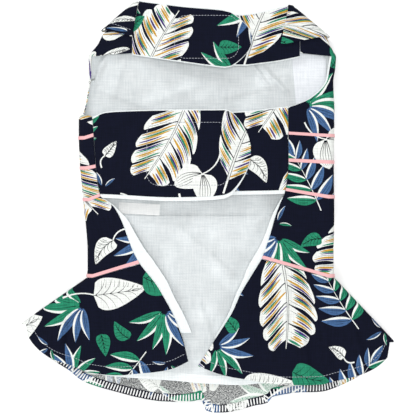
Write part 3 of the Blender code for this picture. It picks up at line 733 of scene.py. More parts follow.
def fan(rng, colours, count, length, spread=1.3):
    """Lance leaves that spread from one point."""
    found = []
    for k in range(count):
        angle = mix(-spread, spread, k / (count - 1)) + rng.uniform(-0.06, 0.06)
        reach = length * (1 - 0.25 * abs(angle) / spread) * rng.uniform(0.9, 1.06)
        colour = colours[0] if k < count * 0.5 else colours[1]
        side = -1 if angle > 0 else 1
        for name, shape in lance_leaf(colour, reach, reach * 0.25, reach * 0.05 * side, side):
            found.append((name, turned(shape, angle, 2.5 * math.cos(angle), 2.5 * math.sin(angle))))
    return found, [(length * 0.45, 0.0, length * 0.52)]


def frond(rng, colours, length):
    """Paired lance leaves along a stalk, each with a white edge."""
    found = [("white", stroke(bow((0, 0), (length, 0), 1.5), 0.9))]
    pairs = 5
    for k in range(pairs):
        at = length * (0.16 + 0.16 * k)
        reach = length * mix(0.44, 0.28, k / (pairs - 1))
        for side in (-1, 1):
            angle = side * mix(1.05, 0.6, k / (pairs - 1))
            for name, shape in lance_leaf(colours[side > 0], reach, reach * 0.32, side * 1.0, -side):
                found.append((name, turned(shape, angle, at, 0.9)))
    for name, shape in lance_leaf(colours[side > 0], length * 0.32, length * 0.11, 0, 1):
        found.append((name, turned(shape, 0.0, length * 0.86, 0.5)))
    return found, [(length * 0.35, 0, length * 0.34), (length * 0.8, 0, length * 0.3)]


def veined_leaf(rng, colour, length, width, base=0.55):
    """A broad leaf with a drawn midrib and side veins."""
    blade = Blade(length, width, rng.uniform(-2.5, 2.5), base, 0.8)
    found = [(colour, blade.strip(-1, 1, steps=16)), ("ink", blade.rib(0.02, 0.95, 0.6))]
    for k in range(5):
        start = 0.08 + 0.15 * k
        for side in (-1, 1):
            found.append(("ink", blade.side_vein(start, start + 0.19, side, 0.9, 0.46)))
    return found, [(length * 0.45, 0, max(length, width) * 0.46)]


def waved_leaf(rng, colour, length, width):
    """A broad leaf with wavy white stripes that run its whole length beside thin drawn lines."""
    blade = Blade(length, width, rng.uniform(-3, 3), 0.7, 0.75)
    found = [(colour, blade.strip(-1, 1, steps=20))]
    for k in range(5):
        out = mix(-0.74, 0.78, k / 4)
        start, end = rng.uniform(0.05, 0.22), rng.uniform(0.72, 0.93)
        line = []
        for n in range(13):
            wave = 0.055 * math.sin(n * 1.05 + k)
            line.append(blade.point(mix(start, end, n / 12), out + wave))
        found.append(("white", stroke(line, 0.3, 2.3)))
        for shift in (-0.15, -0.09):
            beside = [blade.point(mix(start + 0.12, end, n / 12), out + shift + 0.05 * math.sin(n + k))
                      for n in range(13)]
            found.append(("ink", stroke(beside, 0.5)))
    return found, [(length * 0.25, 0, width * 0.5), (length * 0.6, 0, width * 0.5)]


def outlined_leaf(rng, length, width):
    """A white leaf drawn in thin lines, with a hatched half and a long white stalk."""
    blade = Blade(length, width, rng.uniform(-3, 3), 0.5, 0.75)
    found = [
        ("white", stroke(bow((-length * 0.6, rng.uniform(-6, 6)), (1, 0), 2.5, 8), 1.2, 0.9)),
        ("white", blade.strip(-1, 1, steps=18)),
        ("ink", blade.rib(0.0, 0.96, 0.5)),
    ]
    for k in range(6):
        start = 0.03 + 0.14 * k
        for side in (-1, 1):
            found.append(("ink", blade.side_vein(start, start + 0.22, side, 0.95, 0.52, 1.6)))
    for k in range(9):
        start = 0.08 + 0.085 * k
        line = bow(blade.point(start + 0.07, 0.4), blade.point(start + 0.1, 0.84), -0.4, 4)
        found.append(("ink", stroke(line, 0.42)))
    return found, [(length * 0.42, 0, max(length, width) * 0.47)]


def twin_lobes(rng, size):
    """A white leaf with two round lobes that meet at its stalk, drawn in thin arcs."""
    found = [("white", stroke(bow((-size * 0.9, 3), (0, 0), 3, 8), 1.2, 0.9))]
    for side in (-1, 1):
        blade = Blade(size, size * 0.82, side * size * 0.06, 0.62, 0.62)
        found.append(("white", turned(blade.strip(-1, 1, steps=16), side * 0.62, 0, 0)))
        for k in range(5):
            out = mix(-0.7, 0.7, k / 4)
            line = [blade.point(mix(0.04, 0.88, n / 7), out * mix(0.2, 1, n / 7)) for n in range(8)]
            found.append(("ink", turned(stroke(line, 0.6), side * 0.62, 0, 0)))
    return found, [(size * 0.42, 0, size * 0.62)]


# A lobe's stripes. Columns: colour, start and end across the lobe, as shares of its width.
LOBES = (
    (("ochre", 0.03, 0.17), ("ink", 0.20, 0.23), ("green", 0.27, 0.38), ("ochre", 0.40, 0.55),
     ("purple", 0.63, 0.75), ("ochre", 0.84, 0.97)),
    (("purple", 0.04, 0.16), ("green", 0.18, 0.28), ("ink", 0.36, 0.39), ("ochre", 0.46, 0.60),
     ("ochre", 0.64, 0.72), ("green", 0.82, 0.96)),
    (("ochre", 0.04, 0.20), ("green", 0.21, 0.33), ("purple", 0.36, 0.44), ("ink", 0.54, 0.57),
     ("ochre", 0.68, 0.82), ("purple", 0.86, 0.97)),
    (("ink", 0.06, 0.09), ("ochre", 0.16, 0.28), ("purple", 0.31, 0.43), ("green", 0.44, 0.55),
     ("ochre", 0.57, 0.72), ("ink", 0.86, 0.89)),
)


def striped_leaf(rng, length, width, colourful=True):
    """A long leaf torn into lobes, with stripes that sweep from its midrib to its margin."""
    found = []
    lobes = 5

    def point(along, out, side):
        """A shift that follows the distance from the midrib keeps neighbouring edges from crossing."""
        reach = out * math.sin(math.pi * clamp(along) ** 0.8) ** 0.5
        sweep = 0.26 * reach ** 1.3 + 0.015 * math.sin(5 * reach + side)
        return (length * (along + sweep), side * width / 2 * reach + 4.0 * math.sin(math.pi * along))

    def lobe(side, centre, torn):
        """One lobe, close to its neighbours by the midrib and torn from them towards the margin."""
        outs = [0.95 * k / 8 for k in range(9)]
        halves = [mix(0.086, 0.091 - torn, smooth((out - 0.1) / 0.5)) for out in outs]
        first = [point(centre - half, out, side) for out, half in zip(outs, halves)]
        last = [point(centre + half, out, side) for out, half in zip(outs, halves)]
        tip = [point(centre + halves[-1] * f, 0.95 + 0.07 * (1 - f * f), side) for f in (-0.6, -0.2, 0.2, 0.6)]
        return np.array(first + tip + last[::-1])

    def stripe(side, low, high, start, end):
        steps = 9
        first, last = [], []
        for k in range(steps + 1):
            half = (high - low) / 2 * (0.1 + 1.1 * math.sin(math.pi * k / steps) ** 0.6)
            out = mix(start, end, k / steps)
            first.append(point((low + high) / 2 - half, out, side))
            last.append(point((low + high) / 2 + half, out, side))
        return np.array(first + last[::-1])

    for side in (-1, 1):
        first_lobe = rng.randrange(len(LOBES))
        for k in range(lobes):
            centre, torn = 0.11 + 0.182 * k, rng.uniform(0.012, 0.026)
            low, high = centre - 0.09 + torn, centre + 0.09 - torn
            found.append(("white", lobe(side, centre, torn)))
            for colour, start, end in LOBES[(first_lobe + k) % len(LOBES)]:
                if not colourful:
                    if colour == "ink":
                        continue
                    end, colour = mix(start, end, 0.3), "ink"
                inner, outer = rng.uniform(0.0, 0.35), rng.uniform(0.8, 1.0)
                found.append((colour, stripe(side, mix(low, high, start), mix(low, high, end), inner, outer)))
    spine = [(length * t, 4.0 * math.sin(math.pi * t)) for t in np.linspace(-0.12, 1.0, 14)]
    found.append(("ink", stroke(spine, 2.5, 1.2)))
    found.append(("white", stroke(spine, 1.6, 0.6)))
    return found, [(length * f, 0, width * 0.48) for f in (0.24, 0.56, 0.88)]


MOTIFS = (
    (lambda rng: striped_leaf(rng, 84, 46), 8),
    (lambda rng: fan(rng, ("green", "blue"), 7, 36), 7),
    (lambda rng: frond(rng, ("green", "blue"), 56), 4),
    (lambda rng: striped_leaf(rng, 54, 36, False), 3),
    (lambda rng: outlined_leaf(rng, 42, 26), 8),
    (lambda rng: fan(rng, ("green", "blue"), 6, 29), 5),
    (lambda rng: twin_lobes(rng, 24), 9),
    (lambda rng: veined_leaf(rng, "green", 31, 21), 8),
    (lambda rng: outlined_leaf(rng, 24, 14), 11),
    (lambda rng: veined_leaf(rng, "green", 18, 11), 7),
    (lambda rng: fan(rng, ("blue", "green"), 3, 14), 8),
    (lambda rng: outlined_leaf(rng, 15, 9), 12),
)
SMALLEST_SPACE = 0.6


def make_bolt():
    """Motifs from the largest to the smallest, each dropped where it has room on the repeat."""
    rng = random.Random(BOLT_SEED)
    taken, bolt = [], []
    for make, wanted in MOTIFS:
        left, tries = wanted, 0
        while left and tries < 500:
            tries += 1
            shapes, rounds = make(rng)
            angle, x, y = rng.uniform(0, 2 * math.pi), rng.uniform(0, REPEAT), rng.uniform(0, REPEAT)
            spots = turned([r[:2] for r in rounds], angle, x, y)
            free = all(
                math.hypot(*(((p - q + REPEAT / 2) % REPEAT) - REPEAT / 2)) > r[2] + radius + SMALLEST_SPACE
                for p, r in zip(spots, rounds) for q, radius in taken
            )
            if free:
                taken += [(p, r[2]) for p, r in zip(spots, rounds)]
                bolt += [(colour, turned(shape, angle, x, y)) for colour, shape in shapes]
                left -= 1
    return bolt


BOLT = make_bolt()


def print_for(border, offset):
    """The bolt's shapes that fall within a piece's border, when it is cut at this offset."""
    low, high = border.min(0), border.max(0)
    found = []
    for colour, shape in BOLT:
        first = np.ceil((low - offset - shape.max(0)) / REPEAT).astype(int)
        last = np.floor((high - offset - shape.min(0)) / REPEAT).astype(int)
        for across in range(first[0], last[0] + 1):
            for down in range(first[1], last[1] + 1):
                found.append((colour, shape + offset + np.array((across, down)) * REPEAT))
    return found


# Shells of cloth.
def turns_left(shape):
    x, y = shape[:, 0], shape[:, 1]
    return (x * np.roll(y, -1) - y * np.roll(x, -1)).sum() > 0


def cut(border, loose, shapes):
    """Triangles of the flat cloth inside its border, each with the colour of the topmost shape."""
    places, faces, colours = [], [], []
    for colour, shape in [("navy", border), *shapes]:
        faces.append(list(range(len(places), len(places) + len(shape))))
        places += [tuple(p) for p in (shape if turns_left(shape) else shape[::-1])]
        colours.append(colour)
    places += [tuple(p) for p in loose]
    made = delaunay_2d_cdt([Vector(p) for p in places], [], faces, 1, 1e-4, True)
    points, _, triangles, origins, _, sources = made
    kept, tint = [], []
    for corners, source in zip(triangles, sources):
        if 0 in source:
            kept.append(tuple(corners))
            tint.append(colours[max(source)])
    return points, kept, tint, origins


def rim_of(triangles):
    """The points round the triangles' rim, in order and anticlockwise."""
    edges = {(a, b) for t in triangles for a, b in zip(t, t[1:] + t[:1])}
    follow = {a: b for a, b in edges if (b, a) not in edges}
    loop = [next(iter(follow))]
    while follow[loop[-1]] != loop[0]:
        if len(loop) > len(follow):
            raise ValueError("the cloth's outline crosses itself")
        loop.append(follow[loop[-1]])
    return loop


def shell(name, cloth, outer, inner=None, thickness=CLOTH, shapes=(), lift=0.0, swell=None):
    """A closed shell of cloth. outer and inner give a material for each colour of the print.

    With no inner, the inner face is plain lining and needs fewer triangles."""
    points, triangles, tint, _ = cut(cloth.border(), cloth.inner_points(), shapes)
    loop = rim_of(triangles)
    rim = set(loop)
    places, faces, slots, flat, upper = [], [], [], [], {}

    def place(point, side, on_rim):
        where, normal = cloth.at(point.x, point.y)
        half = thickness / 2 * (PRESSED_EDGE if on_rim else 1.0)
        raised = swell(point.x, point.y) if swell and side > 0 else 0.0
        places.append((where + normal * (lift + side * half + raised)) * MM)
        flat.append((point.x, point.y))
        return len(places) - 1

    for k in sorted({k for t in triangles for k in t}):
        upper[k] = place(points[k], 1, k in rim)
    for t, colour in zip(triangles, tint):
        faces.append(tuple(upper[k] for k in t))
        slots.append(outer(colour))
    if inner:
        lower = {k: place(points[k], -1, k in rim) for k in upper}
        for t, colour in zip(triangles, tint):
            faces.append(tuple(lower[k] for k in reversed(t)))
            slots.append(inner(colour))
        below = [lower[k] for k in loop]
    else:
        border = np.array([points[k] for k in loop])
        coarse, plain, _, origins = cut(border, cloth.inner_points(), ())
        from_rim = {k: o[0] for k, o in enumerate(origins) if o and o[0] < len(loop)}
        lower = {k: place(coarse[k], -1, k in from_rim) for k in sorted({k for t in plain for k in t})}
        faces += [tuple(lower[k] for k in reversed(t)) for t in plain]
        slots += ["lining"] * len(plain)
        below = [None] * len(loop)
        for k, number in from_rim.items():
            below[number] = lower[k]
    edge_colour = {}
    for t, colour in zip(triangles, tint):
        for a, b in zip(t, t[1:] + t[:1]):
            edge_colour[a, b] = colour
    for n, k in enumerate(loop):
        after = (n + 1) % len(loop)
        faces.append((upper[loop[after]], upper[k], below[n], below[after]))
        slots.append(outer(edge_colour[k, loop[after]]))
    return solid(name, places, faces, slots, flat)


def solid(name, points, faces, slots, flat=None, smooth_angle=50):
    """A mesh object with a material for each face and, for cloth, its flat place as a UV map."""
    mesh = bpy.data.meshes.new(name)
    mesh.from_pydata([tuple(p) for p in points], [], faces)
    names = sorted(set(slots))
    for slot_name in names:
        mesh.materials.append(MATERIALS[slot_name])
    mesh.polygons.foreach_set("material_index", [names.index(s) for s in slots])
    if flat is not None:
        layer = mesh.uv_layers.new(name="cloth")
        loops = np.zeros(len(mesh.loops), np.int32)
        mesh.loops.foreach_get("vertex_index", loops)
        layer.data.foreach_set("uv", (np.array(flat) * 0.01)[loops].ravel())
    if signed_volume(mesh) < 0:
        mesh.flip_normals()
    mesh.shade_smooth()
    mesh.set_sharp_from_angle(angle=math.radians(smooth_angle))
    thing = bpy.data.objects.new(name, mesh)
    bpy.context.scene.collection.objects.link(thing)
    return thing


def signed_volume(mesh):
    mesh.calc_loop_triangles()
    points = np.zeros(len(mesh.vertices) * 3)
    mesh.vertices.foreach_get("co", points)
    points = points.reshape(-1, 3)
    ids = np.zeros(len(mesh.loop_triangles) * 3, np.int32)
    mesh.loop_triangles.foreach_get("vertices", ids)
    a, b, c = (points[ids.reshape(-1, 3)[:, k]] for k in range(3))
    return float((a * np.cross(b, c)).sum())


# Materials.
def linear(hex_colour):
    """An sRGB hex colour as linear red, green, blue and alpha."""
    parts = [int(hex_colour[k:k + 2], 16) / 255 for k in (1, 3, 5)]
    return (*[p / 12.92 if p <= 0.04045 else ((p + 0.055) / 1.055) ** 2.4 for p in parts], 1.0)


def add(tree, kind, settings=None, **inputs):
    """A node with its settings and its inputs, each a value or another node's output."""
    node = tree.nodes.new(kind)
    for key, value in (settings or {}).items():
        setattr(node, key, value)
    for key, value in inputs.items():
        socket = node.inputs[int(key[1:])] if key[0] == "i" and key[1:].isdigit() else node.inputs[
            key.replace("_", " ")
        ]
        if isinstance(value, bpy.types.NodeSocket):
            tree.links.new(value, socket)
        else:
            socket.default_value = value
    return node


def fresh_material(name):
    material = bpy.data.materials.new(name)
    material.use_nodes = True
    tree = material.node_tree
    tree.nodes.clear()
    shader = add(tree, "ShaderNodeBsdfPrincipled")
    out = add(tree, "ShaderNodeOutputMaterial")
    tree.links.new(shader.outputs[0], out.inputs["Surface"])
    return material, tree, shader


def woven_threads(tree, pitch):
    """Plain weave at this pitch in millimetres, with slubs: a height from 0 to 1 and the slubs."""
    uv = add(tree, "ShaderNodeUVMap", {"uv_map": "cloth"}).outputs[0]
    heights = []
    slubs = []
    for stretch in ((0.12, 1.6, 1.0), (1.6, 0.12, 1.0)):
        place = add(tree, "ShaderNodeMapping", Vector=uv, Scale=stretch).outputs[0]
        streak = add(tree, "ShaderNodeTexNoise", Vector=place, Scale=60.0, Detail=2.0)
        slubs.append(streak.outputs[0])
    for direction in ("X", "Y"):
        wave = add(
            tree, "ShaderNodeTexWave", {"bands_direction": direction, "wave_profile": "SIN"},
            Vector=uv, Scale=100 / pitch / 20 * math.pi, Distortion=0.6, Detail=1.0,
        )
        heights.append(wave.outputs[1])
    weave = add(tree, "ShaderNodeMath", {"operation": "MULTIPLY"}, i0=heights[0], i1=heights[1])
    slub = add(tree, "ShaderNodeMath", {"operation": "ADD"}, i0=slubs[0], i1=slubs[1])
    return weave.outputs[0], slub.outputs[0]


def cotton(name, hex_colour, darker, pitch=0.9, slub_depth=0.5, mottle=0.0):
    """Plain woven cotton: matt, with threads that catch light from the side and uneven slubs."""
    material, tree, shader = fresh_material(name)
    weave, slub = woven_threads(tree, pitch)
    share = add(
        tree, "ShaderNodeMapRange", None, Value=slub, From_Min=0.75, From_Max=1.3, To_Min=0.0, To_Max=1.0
    ).outputs[0]
    threads = add(tree, "ShaderNodeMath", {"operation": "MULTIPLY_ADD"}, i0=weave, i1=0.35, i2=share)
    tone = add(
        tree, "ShaderNodeMix", {"data_type": "RGBA"}, i0=threads.outputs[0],
        i6=linear(darker), i7=linear(hex_colour),
    )
    colour = tone.outputs[2]
    if mottle:
        uv = add(tree, "ShaderNodeUVMap", {"uv_map": "cloth"}).outputs[0]
        patch = add(tree, "ShaderNodeTexNoise", Vector=uv, Scale=4.0, Detail=1.0).outputs[0]
        depth = add(
            tree, "ShaderNodeMapRange", None, Value=patch, From_Min=0.45, From_Max=0.62,
            To_Min=1 - mottle, To_Max=1.0,
        ).outputs[0]
        colour = add(
            tree, "ShaderNodeMix", {"data_type": "RGBA", "blend_type": "MULTIPLY"}, i0=1.0,
            i6=colour, i7=depth,
        ).outputs[2]
    tree.links.new(colour, shader.inputs["Base Color"])
    height = add(tree, "ShaderNodeMath", {"operation": "MULTIPLY_ADD"}, i0=slub, i1=slub_depth, i2=weave)
    bump = add(tree, "ShaderNodeBump", None, Height=height.outputs[0], Strength=0.35, Distance=0.00018)
    tree.links.new(bump.outputs[0], shader.inputs["Normal"])
    shader.inputs["Roughness"].default_value = 0.88
    shader.inputs["Specular IOR Level"].default_value = 0.08
    return material


def wrong_side(name, hex_colour, share):
    """Print seen from behind: the ink reaches only the tops of some threads, so it is speckled."""
    material, tree, shader = fresh_material(name)
    weave, slub = woven_threads(tree, 0.9)
    uv = add(tree, "ShaderNodeUVMap", {"uv_map": "cloth"}).outputs[0]
    speckle = add(tree, "ShaderNodeTexNoise", Vector=uv, Scale=110.0, Detail=3.0, Roughness=0.7)
    low = 0.5 - 0.30 * share
    reach = add(
        tree, "ShaderNodeMapRange", None, Value=speckle.outputs[0], From_Min=low, From_Max=low + 0.28,
        To_Min=1.0 if share == 1 else 0.0, To_Max=1.0,
    ).outputs[0]
    tone = add(
        tree, "ShaderNodeMix", {"data_type": "RGBA"}, i0=reach,
        i6=linear(HEX["white"]), i7=linear(hex_colour),
    )
    tree.links.new(tone.outputs[2], shader.inputs["Base Color"])
    height = add(tree, "ShaderNodeMath", {"operation": "ADD"}, i0=slub, i1=weave)
    bump = add(tree, "ShaderNodeBump", None, Height=height.outputs[0], Strength=0.3, Distance=0.00018)
    tree.links.new(bump.outputs[0], shader.inputs["Normal"])
    shader.inputs["Roughness"].default_value = 0.9
    return material


def satin_ribbon(name, hex_colour, darker):
    """Polyester satin: fine warp floats along the ribbon give it a soft gloss."""
    material, tree, shader = fresh_material(name)
    uv = add(tree, "ShaderNodeUVMap", {"uv_map": "cloth"}).outputs[0]
    wave = add(tree, "ShaderNodeTexWave", {"bands_direction": "Y"}, Vector=uv, Scale=60.0, Distortion=1.5)
    tone = add(
        tree, "ShaderNodeMix", {"data_type": "RGBA"}, i0=wave.outputs[1],
        i6=linear(darker), i7=linear(hex_colour),
    )
    tree.links.new(tone.outputs[2], shader.inputs["Base Color"])
    bump = add(tree, "ShaderNodeBump", None, Height=wave.outputs[1], Strength=0.25, Distance=0.0001)
    tree.links.new(bump.outputs[0], shader.inputs["Normal"])
    shader.inputs["Roughness"].default_value = 0.5
    return material


def sewing_thread(name, hex_colour):
    """Spun polyester thread, with its twist as fine slanting bumps."""
    material, tree, shader = fresh_material(name)
    place = add(tree, "ShaderNodeTexCoord").outputs["Object"]
    twist = add(tree, "ShaderNodeTexWave", {"bands_direction": "DIAGONAL"}, Vector=place, Scale=900.0)
    bump = add(tree, "ShaderNodeBump", None, Height=twist.outputs[1], Strength=0.4, Distance=0.0001)
    tree.links.new(bump.outputs[0], shader.inputs["Normal"])
    shader.inputs["Base Color"].default_value = linear(hex_colour)
    shader.inputs["Roughness"].default_value = 0.6
    return material


def hook_and_loop(name):
    """Black hook and loop tape: a dense low pile with no shine."""
    material, tree, shader = fresh_material(name)
    place = add(tree, "ShaderNodeTexCoord").outputs["Object"]
    pile = add(tree, "ShaderNodeTexVoronoi", None, Vector=place, Scale=1400.0)
    bump = add(tree, "ShaderNodeBump", None, Height=pile.outputs[0], Strength=0.8, Distance=0.0004)
    tree.links.new(bump.outputs[0], shader.inputs["Normal"])
    shader.inputs["Base Color"].default_value = linear("#1B1D26")
    shader.inputs["Roughness"].default_value = 0.95
    return material


def floor_paint(name):
    """Matt white paper, so that only the dress throws a shadow."""
    material, tree, shader = fresh_material(name)
    place = add(tree, "ShaderNodeTexCoord").outputs["Object"]
    grain = add(tree, "ShaderNodeTexNoise", None, Vector=place, Scale=900.0)
    bump = add(tree, "ShaderNodeBump", None, Height=grain.outputs[0], Strength=0.05, Distance=0.0001)
    tree.links.new(bump.outputs[0], shader.inputs["Normal"])
    shader.inputs["Base Color"].default_value = linear(HEX["floor"])
    shader.inputs["Roughness"].default_value = 0.9
    return material


def darkened(hex_colour, share):
    parts = [round(int(hex_colour[k:k + 2], 16) * share) for k in (1, 3, 5)]
    return "#" + "".join(f"{p:02X}" for p in parts)


def make_materials():
    made = {}
    for colour in PRINT_COLOURS:
        shade = darkened(HEX[colour], 0.9 if colour == "white" else 0.78)
        made["print_" + colour] = cotton("printed_poplin_" + colour, HEX[colour], shade)
        share = SHOW_THROUGH[colour]
        made["wrong_" + colour] = wrong_side("poplin_wrong_side_" + colour, HEX[colour], share)
    made["lining"] = cotton("bleached_cotton_lawn", HEX["lining"], "#CFD5D7", 1.1, 0.9, 0.11)
    made["hemmed"] = cotton("bleached_cotton_hem", "#EDF1F1", "#DCE2E3", 1.1, 0.6)
    made["ribbon"] = satin_ribbon("pink_satin_ribbon", HEX["ribbon"], "#DC9DA1")
    made["thread"] = sewing_thread("grey_sewing_thread", HEX["thread"])
    made["white_thread"] = sewing_thread("white_sewing_thread", "#F2F3F2")
    made["navy_thread"] = sewing_thread("navy_sewing_thread", HEX["navy"])
    # The side panel is the lining's own lawn, painted lighter: painted light on that side of the back.
    made["side_lining"] = cotton("bleached_cotton_side_panel", "#E6E9ED", "#D6DADF", 1.1, 0.9)
    made["label"] = cotton("label_tape", HEX["label"], "#E0E2E2", 0.7, 0.3)
    made["tape"] = hook_and_loop("hook_and_loop_tape")
    made["floor"] = floor_paint("matt_white_paper")
    return made


MATERIALS = make_materials()


def printed(colour):
    return "print_" + colour


def wrong(colour):
    return "wrong_" + colour


def lined(colour):
    return "lining"


# Pieces.
def finish_piece(thing, slot, *nodes):
    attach(thing, "root")
    if nodes:
        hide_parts(*nodes)
    return thing


def flat_size(cloth):
    """The sides of the smallest rectangle that the flat cloth is cut from, and the cloth's area."""
    border = cloth.border() * MM
    x, y = border[:, 0], border[:, 1]
    area = abs((x * np.roll(y, -1) - y * np.roll(x, -1)).sum()) / 2
    turns = [turned(border, math.radians(angle), 0, 0) for angle in range(0, 90, 3)]
    sides = [tuple(t.max(0) - t.min(0)) for t in turns]
    return min(sides, key=lambda side: side[0] * side[1]), area


def declare(cloth, with_pieces=()):
    flat, area = flat_size(cloth)


def make_binding():
    """White lawn that binds the right armhole, just past its printed edge."""
    rows = []
    for row in body_grid():
        x, y, z = row[-1]
        if not Y_NECK - ARMHOLE_CORNER * ARMHOLE_HEIGHT - 1 < y < Y_NECK - 2:
            continue
        before = Vector(row[-2])
        out = (Vector(row[-1]) - before).normalized()
        down = Vector((-out.z, 0, out.x)) * (1 if out.x < 0 else -1)
        edge = Vector(row[-1]) + down * 0.75
        rows.append([tuple(edge + out * reach) for reach in (-2.4, -0.8, 0.5, BINDING_REVEAL)])
    cloth = Wrap(rows)
    thing = shell("armhole_binding", cloth, lambda colour: "hemmed", thickness=0.5)
    return finish_piece(thing, "white_lining")


def make_body():
    cloth = Wrap(body_grid(), None)
    shapes = print_for(cloth.border(), (31.0, 12.0))
    thing = shell("body_cloth", cloth, printed, shapes=shapes)
    finish_piece(thing, "print_cotton", "body_panel")
    declare(cloth, [*make_ribbons(), make_binding()])


def make_skirt(rows=56, turn=10, front=84, back=170):
    sides = {side: skirt_side_rows(side, rows, turn, front) for side in (-1, 1)}
    made = []
    cuts = {-1: ("left", (-31.0, 64.0)), 1: ("right", (88.0, -12.0))}
    for side, (hand, offset) in cuts.items():
        grid = sides[side]
        flat = skirt_chart(side, grid, turn)
        if side < 0:
            grid, flat = [row[::-1] for row in grid], flat[:, ::-1]
        cloth = Wrap(grid, flat=flat)
        shapes = print_for(cloth.border(), offset)
        made.append(shell(f"skirt_front_{hand}", cloth, printed, shapes=shapes))
        finish_piece(made[-1], "print_cotton", "skirt")
        declare(cloth)
    grid = skirt_back_rows(sides[-1], sides[1], rows, back)
    cloth = Wrap(grid, flat=np.array(grid)[:, :, :2])
    back_offset = (-40.0, 75.0)
    thing = shell("skirt_back", cloth, printed, wrong, shapes=print_for(cloth.border(), back_offset))
    finish_piece(thing, "print_cotton", "skirt")
    turned_up = make_turned_hem(cloth, back_offset)
    declare(cloth, [turned_up])
    return made, thing, turned_up


def make_turned_hem(cloth, offset):
    """The back hem's allowance, folded up so that the print's right side shows."""
    hem = cloth.space[-1][4:-4, :2]
    slope = np.convolve(np.gradient(hem[:, 1]) / np.gradient(hem[:, 0]), np.ones(9) / 9, "same")
    inner = hem + np.column_stack([0 * slope, TURNED_HEM * np.minimum(np.hypot(1, slope), 1.6)])
    tree = cloth_tree(cloth)

    def height_at(x, y):
        height = dropped(tree, x, y)
        if height is None:
            height = tree.find_nearest(Vector((x, y, 3.0)))[0].z
        return height + CLOTH / 2 + 0.32

    band = Lying(np.concatenate([hem, inner[::-1]]), height_at, 1.6)
    shapes = print_for(band.border(), (offset[0] + 22, offset[1] + 13))
    thing = shell("skirt_turned_hem", band, printed, printed, thickness=0.6, shapes=shapes)
    return finish_piece(thing, "print_cotton", "skirt")


def cloth_tree(cloth):
    height, width = cloth.space.shape[:2]
    points = [tuple(p) for p in cloth.space.reshape(-1, 3)]
    faces = [
        (i * width + j, i * width + j + 1, (i + 1) * width + j + 1, (i + 1) * width + j)
        for i in range(height - 1) for j in range(width - 1)
    ]
    return BVHTree.FromPolygons(points, faces)


def make_collar():
    grid = collar_grid()
    lengths = np.linalg.norm(np.diff(np.array(grid), axis=0), axis=2).mean(1)
    cloth = Wrap(grid, np.concatenate([[0.0], np.cumsum(lengths)]))
    thing = shell("collar_cloth", cloth, printed, printed, shapes=print_for(cloth.border(), (60.0, 140.0)))
    finish_piece(thing, "print_cotton", "collar")
    declare(cloth)
    return thing


def make_ribbon(name, y_left, y_right):
    level = CLOTH / 2 + 0.1 + THIN_RIBBON / 2
    rows = []
    for up in (0.5, 0.25, -0.25, -0.5):
        left, right = y_left + up * RIBBON_WIDTH, y_right + up * RIBBON_WIDTH
        rows.append(body_row(BODY_AT(-left), BODY_AT(-right), level))
    cloth = Wrap(rows, None)
    thing = shell(name, cloth, lambda colour: "ribbon", lambda colour: "ribbon", THIN_RIBBON)
    return finish_piece(thing, "pink_ribbon", name.replace("satin_", ""))


def make_ribbons():
    made = []
    for name, left_down, right_down in RIBBONS:
        left, right = Y_SIDE - SIDE_HEIGHT * left_down, Y_SIDE - SIDE_HEIGHT * right_down
        made.append(make_ribbon("satin_" + name, left, right))
    piping = Y_WAIST + GAP + RIBBON_WIDTH / 2
    return made + [make_ribbon("satin_waist_piping", piping, piping)]


# Straps.
BELLY_LOW = curve_of(BELLY_EDGES, 1, HALF_CHEST, BELLY_WIDTH / 2)
BELLY_HIGH = curve_of(BELLY_EDGES, 2, HALF_CHEST, BELLY_WIDTH / 2)
END_WIDTH = curve_of(STRAP_END)
BELLY_MIDDLE = Y_SIDE - BELLY_DROP


def neck_seam(side, y):
    top = stand_top(COLLAR_SIDES[side][0] * HALF_CHEST)
    return stand_edge(side, max(0.0, (y - Y_SEAM) / (top - Y_SEAM))) - side * GAP


def belly_seam(side, y):
    edge = EDGE_LEFT if side < 0 else EDGE_RIGHT
    return edge(-min(y, Y_NECK - ARMHOLE_CORNER * ARMHOLE_HEIGHT)) - side * GAP


def belly_edges(x):
    return BELLY_MIDDLE + BELLY_LOW(x), BELLY_MIDDLE + BELLY_HIGH(x)


def neck_edges(x):
    return neck_bottom(x), neck_top(x)


def strap_outline(side, edges, seam, end_x, inset=0.0, below=0.0, above=0.0):
    """The strap's outline in plan. below and above push its long edges out."""
    turn = end_x + side * STRAP_ROUNDING
    tip = sum(edges(end_x)) / 2
    start = seam(side, tip)

    def edge(x, top):
        fade = inset * smooth(2 * (x - start) / (turn - start))
        y = edges(x)[top] + (above - fade if top else fade - below)
        past = clamp((x - turn) / (end_x - turn))
        return mix(tip, y, END_WIDTH(past)) if past else y

    def starting(top):
        y = edges(start)[top]
        return seam(side, y)

    points = []
    for top in (0, 1):
        first = starting(top)
        xs = [mix(first, turn, k / 50) for k in range(50)]
        xs += [mix(turn, end_x, 1 - (1 - k / 24) ** 2) for k in range(25)]
        line = [(x, edge(x, top)) for x in xs]
        points += line if top == 0 else line[::-1]
    low, high = points[0][1], points[-1][1]
    seam_line = [mix(high, low, k / 20) for k in range(1, 20)]
    return points + [(seam(side, y), y) for y in seam_line]


def under_layer(x):
    return 0.0


def over_layer(start, end, under_end, to_end):
    over_pad, over_strap = CLOTH + 2 * GAP + TAPE, CLOTH + GAP

    def layer(x):
        rise = over_pad * smooth((x - start) / (under_end - start))
        return rise - (over_pad - over_strap) * smooth((x - (end - to_end)) / to_end)

    return layer


def rounded_rectangle(x, y, width, height, radius, tilt=0.0):
    """Points about 1 mm apart round a rectangle, from the middle of its right side."""
    points = []
    for k in range(4):
        centre = (
            (width / 2 - radius) * (1 if k in (0, 3) else -1),
            (height / 2 - radius) * (1 if k < 2 else -1),
        )
        for n in range(9):
            angle = (k + n / 8) * math.pi / 2
            points.append((centre[0] + radius * math.cos(angle), centre[1] + radius * math.sin(angle)))
    return turned(points, tilt, x, y)


